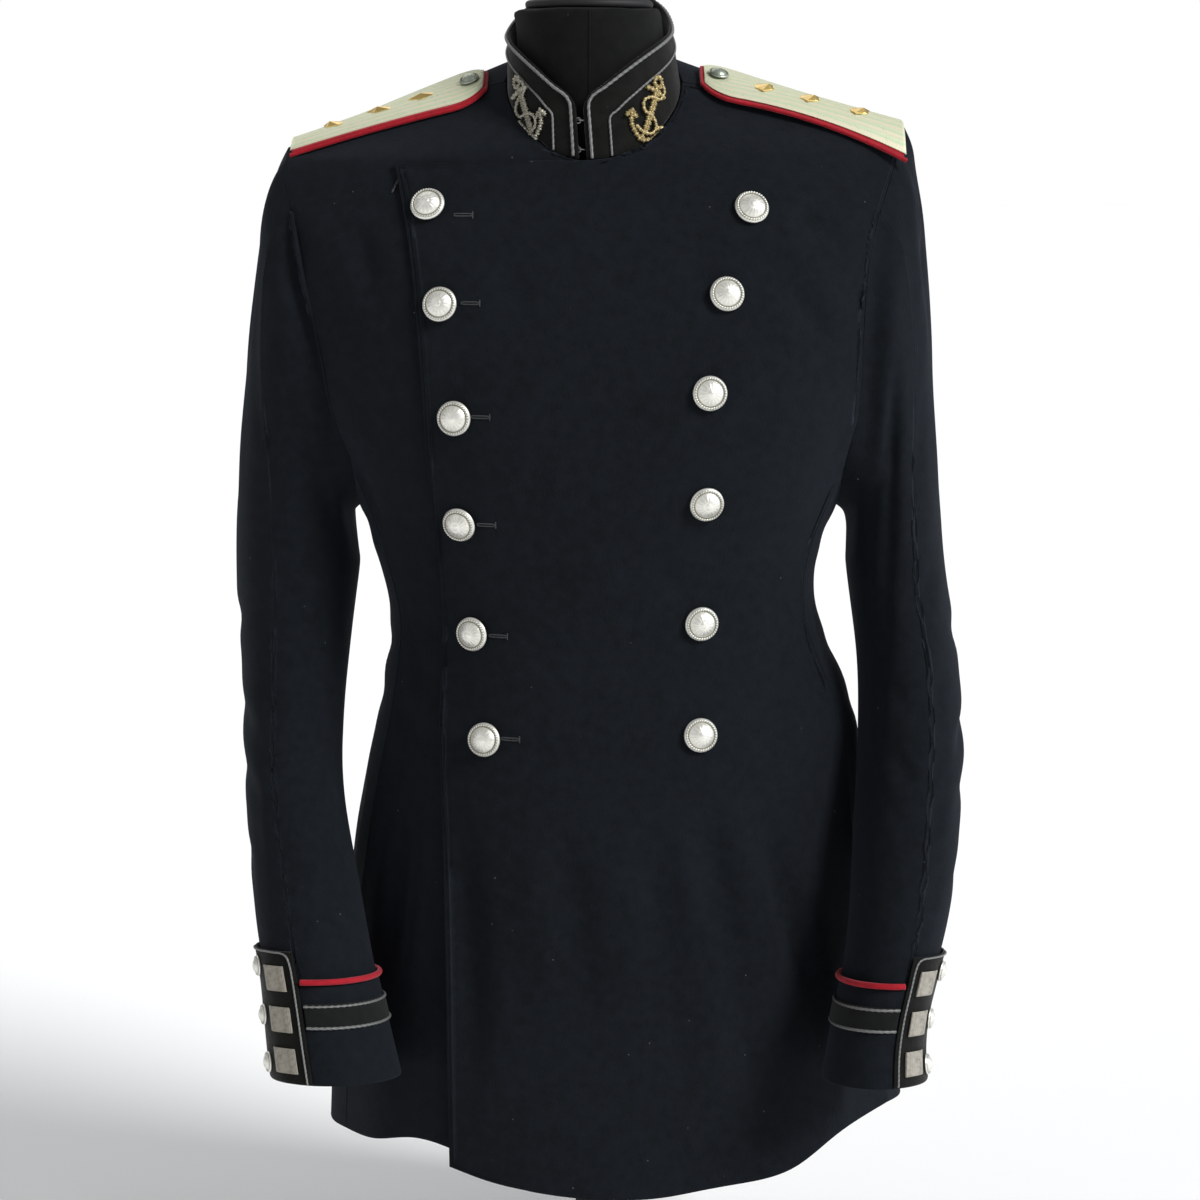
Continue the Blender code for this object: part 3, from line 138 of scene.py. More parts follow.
def smooth_route(points: Sequence[Sequence[float]], step: float, closed: bool = False) -> Array:
    """Points a step apart along a smooth curve through a few given ones.

    Args:
        points: the given ones.
        step: how far apart the new ones lie.
        closed: whether the last point is followed by the first.

    Returns:
        One row for each new point.
    """
    points = np.asarray([list(p) for p in points], float)
    count = len(points) if closed else len(points) - 1
    fine = through(points, np.linspace(0, count, 24 * count + 1), closed)
    along = np.concatenate([[0], np.cumsum(np.linalg.norm(np.diff(fine, axis=0), axis=1))])
    steps = max(3, int(round(along[-1] / step)))
    places = np.linspace(0, along[-1], steps + 1)
    return np.stack([np.interp(places, along, fine[:, k]) for k in range(3)], axis=1)


def triples(items: bpy.types.bpy_prop_collection, key: str) -> Array:
    """Reads three numbers of each item, one row for each."""
    flat = np.empty(3 * len(items))
    items.foreach_get(key, flat)
    return flat.reshape(-1, 3)


def coordinates(mesh: bpy.types.Mesh) -> Array:
    """The mesh's points as an array."""
    return triples(mesh.vertices, "co")


def point_normals(mesh: bpy.types.Mesh) -> Array:
    """The mesh's vertex normals as an array."""
    return triples(mesh.vertex_normals, "vector")


def border(mesh: bpy.types.Mesh) -> list:
    """Numbers of the points on a mesh's open edges."""
    uses = Counter(key for face in mesh.polygons for key in face.edge_keys)
    return sorted({number for key, count in uses.items() if count == 1 for number in key})


def evened(mesh: bpy.types.Mesh, values: Array, rounds: int) -> Array:
    """Evens values out between neighbours, where a point on an open edge looks along it only.

    Args:
        mesh: the mesh whose edges join the neighbours.
        values: one for each point.
        rounds: how often each takes half of its neighbours' mean.

    Returns:
        The evened values.
    """
    pairs = np.empty(2 * len(mesh.edges), int)
    mesh.edges.foreach_get("vertices", pairs)
    first, second = pairs.reshape(-1, 2).T
    own, other = np.concatenate([first, second]), np.concatenate([second, first])
    rim = np.zeros(len(values), bool)
    rim[border(mesh)] = True
    heard = ~rim[own] | rim[other]
    own, other = own[heard], other[heard]
    count = np.maximum(np.bincount(own, minlength=len(values)), 1)
    for _ in range(rounds):
        values = (values + np.bincount(own, values[other], len(values)) / count) / 2
    return values


def move_points(mesh: bpy.types.Mesh, points: Array) -> None:
    """Puts the mesh's points where the array says."""
    mesh.vertices.foreach_set("co", points.ravel())
    mesh.update()


def shade_smooth(mesh: bpy.types.Mesh) -> None:
    """Shades every face of a mesh smoothly."""
    mesh.polygons.foreach_set("use_smooth", [True] * len(mesh.polygons))


def linked(mesh: bpy.types.Mesh) -> Piece:
    """An object of the mesh's own name, in the scene."""
    obj = bpy.data.objects.new(mesh.name, mesh)
    bpy.context.scene.collection.objects.link(obj)
    return obj


def shape_object(
    name: str, points: Array, faces: Sequence[Sequence[int]], uvs: Optional[Array] = None
) -> Piece:
    """Makes a smooth-shaded object of points and faces.

    Args:
        name: the piece's name.
        points: an array of places.
        faces: corner indices of each face.
        uvs: one pair for each point, or None.

    Returns:
        The object, linked to the scene.
    """
    mesh = bpy.data.meshes.new(name)
    mesh.from_pydata([tuple(p) for p in points], [], [tuple(f) for f in faces])
    if uvs is not None:
        layer = mesh.uv_layers.new(name="along")
        corners = np.empty(len(mesh.loops), int)
        mesh.loops.foreach_get("vertex_index", corners)
        layer.data.foreach_set("uv", uvs[corners].ravel())
    shade_smooth(mesh)
    mesh.update()
    return linked(mesh)


def deselect() -> None:
    """Leaves nothing selected."""
    for obj in bpy.context.view_layer.objects:
        obj.select_set(False)


def choose(obj: Piece) -> None:
    """Makes one object the only selected and active one."""
    deselect()
    obj.select_set(True)
    bpy.context.view_layer.objects.active = obj


def apply_modifiers(obj: Piece) -> None:
    """Applies every modifier of an object, in order."""
    choose(obj)
    for modifier in list(obj.modifiers):
        bpy.ops.object.modifier_apply(modifier=modifier.name)


def thicken(obj: Piece, thickness: float) -> None:
    """Gives a sheet its thickness, inwards from its outer side.

    Args:
        obj: the sheet.
        thickness: in metres.
    """
    solid = obj.modifiers.new("thickness", "SOLIDIFY")
    solid.thickness = thickness
    solid.offset = -1.0
    solid.use_even_offset = False
    solid.use_quality_normals = True
    apply_modifiers(obj)
    shade_smooth(obj.data)


def relax(mesh: bmesh.types.BMesh, verts: list, rounds: int, upright: bool = True) -> None:
    """Smooths some points of a mesh between their neighbours.

    Args:
        mesh: the mesh.
        verts: the points that move.
        rounds: how often.
        upright: whether they move up and down too.
    """
    for _ in range(rounds):
        bmesh.ops.smooth_vert(
            mesh, verts=verts, factor=0.5, use_axis_x=True, use_axis_y=True, use_axis_z=upright
        )


def tree_of(objects: Sequence[Piece]) -> BVHTree:
    """A tree of the faces of these objects, to find where a trim meets them.

    Args:
        objects: the objects, with their places in their meshes.

    Returns:
        The tree.
    """
    points, faces = [], []
    for obj in objects:
        base = len(points)
        points += [vertex.co.copy() for vertex in obj.data.vertices]
        faces += [[base + i for i in face.vertices] for face in obj.data.polygons]
    return BVHTree.FromPolygons(points, faces)


def from_front(tree: BVHTree, across: float, height: float) -> Optional[Vector]:
    """The place that is met at an X and a Z when coming from the front."""
    return tree.ray_cast(Vector((across, -1, height)), Vector((0, 1, 0)))[0]


def round_line(radius: float) -> list:
    """Eight places round a circle, as pairs."""
    turns = np.linspace(0, TURN, 9)[:-1]
    return [(radius * math.cos(t), radius * math.sin(t)) for t in turns]


def hold(obj: Piece, material: bpy.types.Material, nodes: Sequence[str] = ()) -> None:
    """Dresses a finished piece and hands it to the frame.

    Args:
        obj: the piece.
        material: its finish.
        nodes: the CAD nodes that it stands for.
    """
    obj.data.materials.clear()
    obj.data.materials.append(material)
    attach(obj, "root")
    if nodes:
        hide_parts(*nodes)


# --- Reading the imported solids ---


SMOOTH_EDGE = math.radians(50)
JOIN_TRIES = (2.0, 1.0, 0.5, 4.0, 0.0)


def widest_part(mesh: bmesh.types.BMesh) -> set:
    """The largest stretch of faces that holds no sharp edge: the outer side of a wall.

    Args:
        mesh: the wall, with its doubles merged.

    Returns:
        The faces.
    """
    left = set(mesh.faces)
    best, best_area = set(), 0.0
    while left:
        front = [left.pop()]
        part = set(front)
        while front:
            for edge in front.pop().edges:
                if len(edge.link_faces) != 2 or edge.calc_face_angle(math.pi) > SMOOTH_EDGE:
                    continue
                for face in edge.link_faces:
                    if face in left:
                        left.remove(face)
                        part.add(face)
                        front.append(face)
        area = sum(face.calc_area() for face in part)
        if area > best_area:
            best, best_area = part, area
    return best


def outer_side(node: str) -> bmesh.types.BMesh:
    """The outer side of a node's wall as four-sided faces.

    Args:
        node: the CAD node's name.

    Returns:
        A mesh that the caller frees.
    """
    best, fewest = None, math.inf
    for influence in JOIN_TRIES:
        mesh = bmesh.new()
        mesh.from_mesh(frame["nodes"][node].data)
        bmesh.ops.remove_doubles(mesh, verts=mesh.verts, dist=WELD)
        keep = widest_part(mesh)
        drop = [face for face in mesh.faces if face not in keep]
        bmesh.ops.delete(mesh, geom=drop, context="FACES")
        bmesh.ops.join_triangles(
            mesh, faces=mesh.faces, angle_face_threshold=math.pi,
            angle_shape_threshold=math.pi, topology_influence=influence,
        )
        left = sum(len(face.verts) == 3 for face in mesh.faces)
        if left < fewest:
            if best:
                best.free()
            best, fewest = mesh, left
        else:
            mesh.free()
        if fewest == 0:
            break
    return best


@dataclass
class Lattice:
    """A four-cornered patch as rows and columns of points."""

    points: Array

    @classmethod
    def of_node(cls, node: str, columns: int, order: Callable[[Vector], float]) -> "Lattice":
        """Walks over the outer side of a CAD patch.

        Args:
            node: the CAD node's name.
            columns: how many points a row has.
            order: a number for each place, least at the corner where the walk starts.

        Returns:
            The lattice of the patch's points.
        """
        mesh = outer_side(node)
        corners = [vertex for vertex in mesh.verts if len(vertex.link_edges) == 2]
        start = min(corners, key=lambda vertex: order(vertex.co))
        rows = []
        for edge in start.link_edges:
            row = [start, edge.other_vert(start)]
            while row[-1] not in corners:
                ahead = [
                    e.other_vert(row[-1]) for e in row[-1].link_edges
                    if e.is_boundary and e.other_vert(row[-1]) != row[-2]
                ]
                row.append(ahead[0])
            if len(row) == columns:
                rows = [row]
        used: set = set()
        while rows:
            row, above = rows[-1], []
            for a, b in zip(row, row[1:]):
                found = [f for f in a.link_faces if b in f.verts and f not in used]
                if not found:
                    break
                face = found[0]
                used.add(face)
                over = {v: [e.other_vert(v) for e in v.link_edges if e in face.edges] for v in (a, b)}
                if not above:
                    above.append(next(v for v in over[a] if v != b))
                above.append(next(v for v in over[b] if v != a))
            if len(above) < columns:
                break
            rows.append(above)
        lattice = cls(np.array([[list(vertex.co) for vertex in row] for row in rows]))
        mesh.free()
        return lattice

    def grid(self, rows: Array, columns: Array) -> Array:
        """Points at every pairing of fractional rows and columns."""
        across = through(self.points, rows)
        return np.swapaxes(through(np.swapaxes(across, 0, 1), columns), 0, 1)

    def at(self, row: float, column: float) -> Vector:
        """One point at a fractional row and column."""
        return Vector(self.grid(np.array([row]), np.array([column]))[0, 0])


class CuffRing:
    """The cuff's outer side by height and by turn from the arm's outer side."""

    COLUMNS = 24
    NEARLY_FULL = 359.5

    def __init__(self, side: str) -> None:
        """Sorts the rings of one cuff node, from its top down.

        Args:
            side: the wearer's side.
        """
        mesh = outer_side(f"cuff_{side}")
        loops = []
        left = set(mesh.verts)
        row = [v for v in left if v.is_boundary]
        top_level = sum(v.co.z for v in row) / len(row)
        row = {v for v in row if v.co.z > top_level}
        while row:
            loops.append(list(row))
            left -= row
            row = {e.other_vert(v) for v in row for e in v.link_edges} & left
        self.sign = SIDES[side]
        self.rings = []
        for loop in loops:
            points = np.array([list(v.co) for v in loop])
            centre = points.mean(axis=0)
            turn = np.arctan2(centre[1] - points[:, 1], self.sign * (points[:, 0] - centre[0]))
            turn = np.round(np.degrees(turn), 3) % 360
            turn[turn > self.NEARLY_FULL] = 0.0
            self.rings.append(points[np.argsort(turn)])
        self.rings = np.array(self.rings)
        self.heights = [ring[:, 2].mean() for ring in self.rings]
        mesh.free()

    def route(self, height: float, turns: Sequence[float], lift: float) -> Array:
        """Points round the cuff.

        Args:
            height: Z of the ring's middle.
            turns: degrees from the arm's outer side.
            lift: how far the points are moved out.

        Returns:
            One row for each turn.
        """
        row = float(np.interp(-height, [-h for h in self.heights], range(len(self.heights))))
        ring = through(self.rings, np.array([row]))[0]
        if height > self.heights[0]:
            ring = ring + np.array([0, 0, height - self.heights[0]])
        centre = ring.mean(axis=0)
        points = through(ring, np.array(turns) / 360 * self.COLUMNS % self.COLUMNS, closed=True)
        out = points - centre
        out[:, 2] = 0
        out /= np.linalg.norm(out, axis=1)[:, None]
        return points + out * lift


# --- Finishes ---


Number = Union[float, Socket]
Tint = Union[tuple, Socket]
Inputs = dict[Union[int, str], Union[Number, Tint]]


class NodeBench:
    """Places shader nodes in one tree and joins them."""

    def __init__(self, tree: bpy.types.NodeTree) -> None:
        """Starts on a tree."""
        self.tree = tree
        self.count = 0

    def put(self, kind: str, inputs: Optional[Inputs] = None, **settings: object) -> bpy.types.Node:
        """Adds a node.

        Args:
            kind: the node's type.
            inputs: input name or index to its plain value, or to the socket that feeds it.
            settings: the node's own properties.

        Returns:
            The node.
        """
        node = self.tree.nodes.new(kind)
        node.location = (220 * (self.count % 8), -260 * (self.count // 8))
        self.count += 1
        for key, value in settings.items():
            setattr(node, key, value)
        self.fill(node, inputs or {})
        return node

    def fill(self, node: bpy.types.Node, inputs: Inputs) -> None:
        """Sets inputs to plain values, or joins them to sockets.

        Args:
            node: the node.
            inputs: input name or index to its plain value, or to the socket that feeds it.
        """
        for key, value in inputs.items():
            if isinstance(value, Socket):
                self.tree.links.new(value, node.inputs[key])
            else:
                node.inputs[key].default_value = value

    def calc(
        self,
        operation: str,
        first: Number,
        second: Number = 0.0,
        third: Number = 0.0,
        clamp: bool = False,
    ) -> Socket:
        """A Math node.

        Args:
            operation: its operation.
            first: a number or the socket that gives it, as are the next two.
            second: the second number.
            third: the third number.
            clamp: whether the result stays between 0 and 1.

        Returns:
            Its value.
        """
        node = self.put("ShaderNodeMath", operation=operation, use_clamp=clamp)
        self.fill(node, {0: first, 1: second, 2: third})
        return node.outputs[0]

    def blend(self, share: Number, first: Tint, second: Tint) -> Socket:
        """The colour that is a share of the way from a first one to a second one."""
        node = self.put("ShaderNodeMix", data_type="RGBA", blend_type="MIX")
        self.fill(node, {0: share, 6: first, 7: second})
        return node.outputs[2]

    def noise(
        self, vector: Socket, scale: Number, detail: float, rough: float = 0.5
    ) -> Socket:
        """A Noise texture's value."""
        inputs = {"Detail": detail, "Roughness": rough, "Vector": vector, "Scale": scale}
        return self.put("ShaderNodeTexNoise", inputs).outputs[0]


def group_tree(name: str, inputs: Sequence[tuple], outputs: Sequence[tuple]) -> tuple:
    """An empty node group with named sockets.

    Args:
        name: the group's name.
        inputs: (name, socket type, default) of each input.
        outputs: (name, socket type) of each output.

    Returns:
        The tree, its bench, the sockets that bring its inputs, and the node that takes its outputs.
    """
    tree = bpy.data.node_groups.new(name, "ShaderNodeTree")
    for label, kind, default in inputs:
        socket = tree.interface.new_socket(label, in_out="INPUT", socket_type=kind)
        if default is not None:
            socket.default_value = default
    for label, kind in outputs:
        tree.interface.new_socket(label, in_out="OUTPUT", socket_type=kind)
    bench = NodeBench(tree)
    return tree, bench, bench.put("NodeGroupInput").outputs, bench.put("NodeGroupOutput")


FLOAT, COLOUR, VECTOR = "NodeSocketFloat", "NodeSocketColor", "NodeSocketVector"


class Effects:
    """Shader groups that several finishes share, each built once."""

    def __init__(self) -> None:
        """Builds the groups."""
        self.nap = self.build_nap()
        self.lint = self.build_lint()
        self.tarnish = self.build_tarnish()
        self.thread = self.build_thread()

    def build_nap(self) -> bpy.types.NodeTree:
        """Short fibres and soft mottling of a raised cloth.

        Returns:
            The group's tree.
        """
        tree, bench, ins, outs = group_tree(
            "fibre_nap",
            [("Vector", VECTOR, None), ("Dark", COLOUR, (0, 0, 0, 1)), ("Light", COLOUR, (1, 1, 1, 1)),
             ("Fibre", FLOAT, 900.0), ("Mottle", FLOAT, 60.0)],
            [("Color", COLOUR), ("Height", FLOAT)],
        )
        inputs = {"Scale": (1.0, 1.0, 0.35), "Vector": ins["Vector"]}
        stretch = bench.put("ShaderNodeMapping", inputs)
        fibre = bench.noise(stretch.outputs[0], ins["Fibre"], 3.0, 0.7)
        mottle = bench.noise(ins["Vector"], ins["Mottle"], 4.0, 0.62)
        cloud = bench.noise(ins["Vector"], 9.0, 2.0)
        share = bench.calc("MULTIPLY_ADD", mottle, 1.1, -0.28)
        share = bench.calc("MULTIPLY_ADD", fibre, 0.55, share)
        share = bench.calc("MULTIPLY_ADD", cloud, 0.5, share)
        share = bench.calc("SUBTRACT", share, 0.36, clamp=True)
        colour = bench.blend(share, ins["Dark"], ins["Light"])
        height = bench.calc("MULTIPLY_ADD", mottle, 0.6, fibre)
        bench.fill(outs, {"Color": colour, "Height": height})
        return tree

    def build_lint(self) -> bpy.types.NodeTree:
        """Sparse pale specks of lint.

        Returns:
            The group's tree.
        """
        tree, bench, ins, outs = group_tree(
            "lint_specks", [("Vector", VECTOR, None), ("Spread", FLOAT, 75.0), ("Size", FLOAT, 0.05)],
            [("Mask", FLOAT)],
        )
        place = ins["Vector"]
        bent = bench.put("ShaderNodeTexNoise", {"Scale": 400.0, "Vector": place})
        inputs = {"Scale": 0.0012, 0: bent.outputs["Color"]}
        moved = bench.put("ShaderNodeVectorMath", inputs, operation="SCALE")
        inputs = {0: place, 1: moved.outputs[0]}
        where = bench.put("ShaderNodeVectorMath", inputs, operation="ADD")
        inputs = {"Vector": where.outputs[0], "Scale": ins["Spread"]}
        cells = bench.put("ShaderNodeTexVoronoi", inputs)
        near = bench.calc("LESS_THAN", cells.outputs["Distance"], ins["Size"])
        split = bench.put("ShaderNodeSeparateColor", {0: cells.outputs["Color"]})
        some = bench.calc("GREATER_THAN", split.outputs[0], 0.72)
        bench.fill(outs, {"Mask": bench.calc("MULTIPLY", near, some)})
        return tree

    def build_tarnish(self) -> bpy.types.NodeTree:
        """Dull patches and fine scratches of handled metal or paint.

        Returns:
            The group's tree.
        """
        tree, bench, ins, outs = group_tree(
            "tarnish", [("Vector", VECTOR, None), ("Patch", FLOAT, 160.0), ("Amount", FLOAT, 0.5)],
            [("Mask", FLOAT), ("Grain", FLOAT)],
        )
        patch = bench.noise(ins["Vector"], ins["Patch"], 5.0, 0.65)
        low = bench.calc("SUBTRACT", 1.0, ins["Amount"])
        level = bench.calc("MULTIPLY_ADD", low, 0.35, 0.32)
        over = bench.calc("SUBTRACT", patch, level)
        mask = bench.calc("MULTIPLY", over, 3.0, clamp=True)
        bench.fill(outs, {"Mask": mask, "Grain": bench.noise(ins["Vector"], 2500.0, 2.0)})
        return tree

    def build_thread(self) -> bpy.types.NodeTree:
        """Crossing metal threads on a piece whose map is in metres.

        Returns:
            The group's tree.
        """
        tree, bench, ins, outs = group_tree(
            "metal_thread",
            [("Vector", VECTOR, None), ("Warp", FLOAT, 900.0), ("Weft", FLOAT, 1400.0)],
            [("Height", FLOAT), ("Worn", FLOAT)],
        )
        split = bench.put("ShaderNodeSeparateXYZ", {0: ins["Vector"]})
        along = bench.calc("MULTIPLY", split.outputs[0], ins["Warp"])
        across = bench.calc("MULTIPLY", split.outputs[1], ins["Weft"])
        first = bench.calc("SINE", bench.calc("MULTIPLY", bench.calc("ADD", along, across), TURN))
        second = bench.calc("SINE", bench.calc("MULTIPLY", across, TURN))
        height = bench.calc("MULTIPLY_ADD", second, 0.5, first)
        worn = bench.noise(ins["Vector"], 260.0, 4.0, 0.6)
        bench.fill(outs, {"Height": bench.calc("MULTIPLY_ADD", height, 0.25, 0.5), "Worn": worn})
        return tree


def blank_material(name: str) -> tuple:
    """Starts a material.

    Args:
        name: the material's name.

    Returns:
        The material, its bench and its main shader.
    """
    material = bpy.data.materials.new(name)
    material.use_nodes = True
    bench = NodeBench(material.node_tree)
    return material, bench, material.node_tree.nodes["Principled BSDF"]


def place_group(bench: NodeBench, tree: bpy.types.NodeTree, inputs: Inputs) -> bpy.types.Node:
    """Places a group in a material, with its inputs filled."""
    node = bench.put("ShaderNodeGroup", node_tree=tree)
    bench.fill(node, inputs)
    return node


def add_bump(
    bench: NodeBench, height: Socket, depth: float, strength: float, shader: bpy.types.Node
) -> None:
    """Feeds a height into the shader's normal.

    Args:
        bench: the material's bench.
        height: the relief, from 0 to about 1.
        depth: its size in metres.
        strength: its share of the normal.
        shader: the main shader.
    """
    inputs = {"Strength": strength, "Distance": depth, "Height": height}
    bench.fill(shader, {"Normal": bench.put("ShaderNodeBump", inputs).outputs[0]})


@dataclass(frozen=True)
class ClothFinish:
    """A napped or pile cloth: wool, velvet, felt or jersey."""

    name: str
    dark: tuple
    light: tuple
    roughness: float = 0.95
    sheen: float = 0.2
    sheen_tint: tuple = (1.0, 1.0, 1.0, 1.0)
    sheen_roughness: float = 0.5
    fibre: float = 900.0
    mottle: float = 60.0
    bump: float = 0.0003
    lint: float = 0.0
    specular: float = 0.2

    LINT = (0.09, 0.10, 0.11, 1)

    def make(self, effects: Effects) -> bpy.types.Material:
        """Builds the material.

        Args:
            effects: the shared shader groups.

        Returns:
            The material.
        """
        material, bench, shader = blank_material(self.name)
        place = bench.put("ShaderNodeTexCoord").outputs["Object"]
        inputs = {"Dark": (*self.dark, 1), "Light": (*self.light, 1), "Fibre": self.fibre}
        nap = place_group(bench, effects.nap, {**inputs, "Mottle": self.mottle, "Vector": place})
        colour = nap.outputs["Color"]
        if self.lint:
            specks = place_group(bench, effects.lint, {"Size": self.lint, "Vector": place})
            colour = bench.blend(specks.outputs["Mask"], colour, self.LINT)
        add_bump(bench, nap.outputs["Height"], self.bump, 0.9, shader)
        bench.fill(shader, {
            "Base Color": colour, "Roughness": self.roughness, "Specular IOR Level": self.specular,
            "Sheen Weight": self.sheen, "Sheen Roughness": self.sheen_roughness,
            "Sheen Tint": self.sheen_tint,
        })
        return material


@dataclass(frozen=True)
class ThreadFinish:
    """Metal thread: cord, bullion or woven lace, with worn patches, and painted shade where the weave lies
    low.
    """

    name: str
    bright: tuple
    dull_and_shade: tuple
    metallic: float = 0.7
    roughness: float = 0.42
    warp: float = 900.0
    weft: float = 0.0
    bump: float = 0.0002
    worn_from: float = 0.42
    stripe: float = 0.0
    tint: tuple = (0.5, 0.5, 0.5)

    def make(self, effects: Effects) -> bpy.types.Material:
        """Builds the material.

        Args:
            effects: the shared shader groups.

        Returns:
            The material.
        """
        material, bench, shader = blank_material(self.name)
        place = bench.put("ShaderNodeTexCoord").outputs["UV"]
        inputs = {"Warp": self.warp, "Weft": self.weft, "Vector": place}
        thread = place_group(bench, effects.thread, inputs)
        worn = bench.calc("SUBTRACT", thread.outputs["Worn"], self.worn_from)
        worn = bench.calc("MULTIPLY", worn, 4.0, clamp=True)
        # Painted shade: the low parts between the threads are blended towards the dull_and_shade colour, as
        # are the worn patches.
        low = bench.calc("SUBTRACT", 0.62, thread.outputs["Height"], clamp=True)
        share = bench.calc("ADD", bench.calc("MULTIPLY", worn, 0.55), low, clamp=True)
        colour = bench.blend(share, (*self.bright, 1), (*self.dull_and_shade, 1))
        if self.stripe:
            split = bench.put("ShaderNodeSeparateXYZ", {0: place})
            wander = bench.calc("MULTIPLY_ADD", thread.outputs["Worn"], 3.0, -1.5)
            turns = bench.calc("MULTIPLY_ADD", split.outputs[1], TURN / self.stripe, wander)
            band = bench.calc("MULTIPLY_ADD", bench.calc("SINE", turns), 0.42, 0.42)
            colour = bench.blend(band, colour, (*self.tint, 1))
        rough = bench.calc("MULTIPLY_ADD", share, 0.25, self.roughness)
        add_bump(bench, thread.outputs["Height"], self.bump, 0.8, shader)
        bench.fill(shader, {"Base Color": colour, "Roughness": rough, "Metallic": self.metallic})
        return material


@dataclass(frozen=True)
class MetalFinish:
    """Solid metal, softly polished, with tarnish in patches, and painted shade in its grooves, read from a
    recess_shade attribute where the piece has one.
    """

    name: str
    bright: tuple
    dull_and_shade: tuple
    roughness: float = 0.24
    patch: float = 160.0
    amount: float = 0.5
    metallic: float = 1.0

    def make(self, effects: Effects) -> bpy.types.Material:
        """Builds the material.

        Args:
            effects: the shared shader groups.

        Returns:
            The material.
        """
        material, bench, shader = blank_material(self.name)
        place = bench.put("ShaderNodeTexCoord").outputs["Object"]
        inputs = {"Patch": self.patch, "Amount": self.amount, "Vector": place}
        wear = place_group(bench, effects.tarnish, inputs)
        # Painted shade: the recess_shade attribute darkens the grooves and the underside, on top of the
        # tarnish patches.
        recess_shade = bench.put("ShaderNodeAttribute", attribute_name="recess_shade").outputs["Fac"]
        share = bench.calc("MULTIPLY_ADD", wear.outputs["Mask"], 0.45, recess_shade, clamp=True)
        colour = bench.blend(share, (*self.bright, 1), (*self.dull_and_shade, 1))
        rough = bench.calc("MULTIPLY_ADD", share, 0.25, self.roughness)
        add_bump(bench, wear.outputs["Grain"], 0.00004, 0.5, shader)
        bench.fill(shader, {"Base Color": colour, "Roughness": rough, "Metallic": self.metallic})
        return material


@dataclass(frozen=True)
class PaintFinish:
    """Satin paint with faint wear, or the plain stage."""

    name: str
    colour: tuple
    worn: tuple
    roughness: float = 0.35
    patch: float = 30.0
    amount: float = 0.25
    coat: float = 0.2

    def make(self, effects: Effects) -> bpy.types.Material:
        """Builds the material.

        Args:
            effects: the shared shader groups.

        Returns:
            The material.
        """
        material, bench, shader = blank_material(self.name)
        place = bench.put("ShaderNodeTexCoord").outputs["Object"]
        inputs = {"Patch": self.patch, "Amount": self.amount, "Vector": place}
        wear = place_group(bench, effects.tarnish, inputs)
        colour = bench.blend(wear.outputs["Mask"], (*self.colour, 1), (*self.worn, 1))
        rough = bench.calc("MULTIPLY_ADD", wear.outputs["Mask"], 0.2, self.roughness)
        add_bump(bench, wear.outputs["Grain"], 0.00003, 0.4, shader)
        bench.fill(shader, {"Base Color": colour, "Roughness": rough, "Coat Weight": self.coat})
        return material


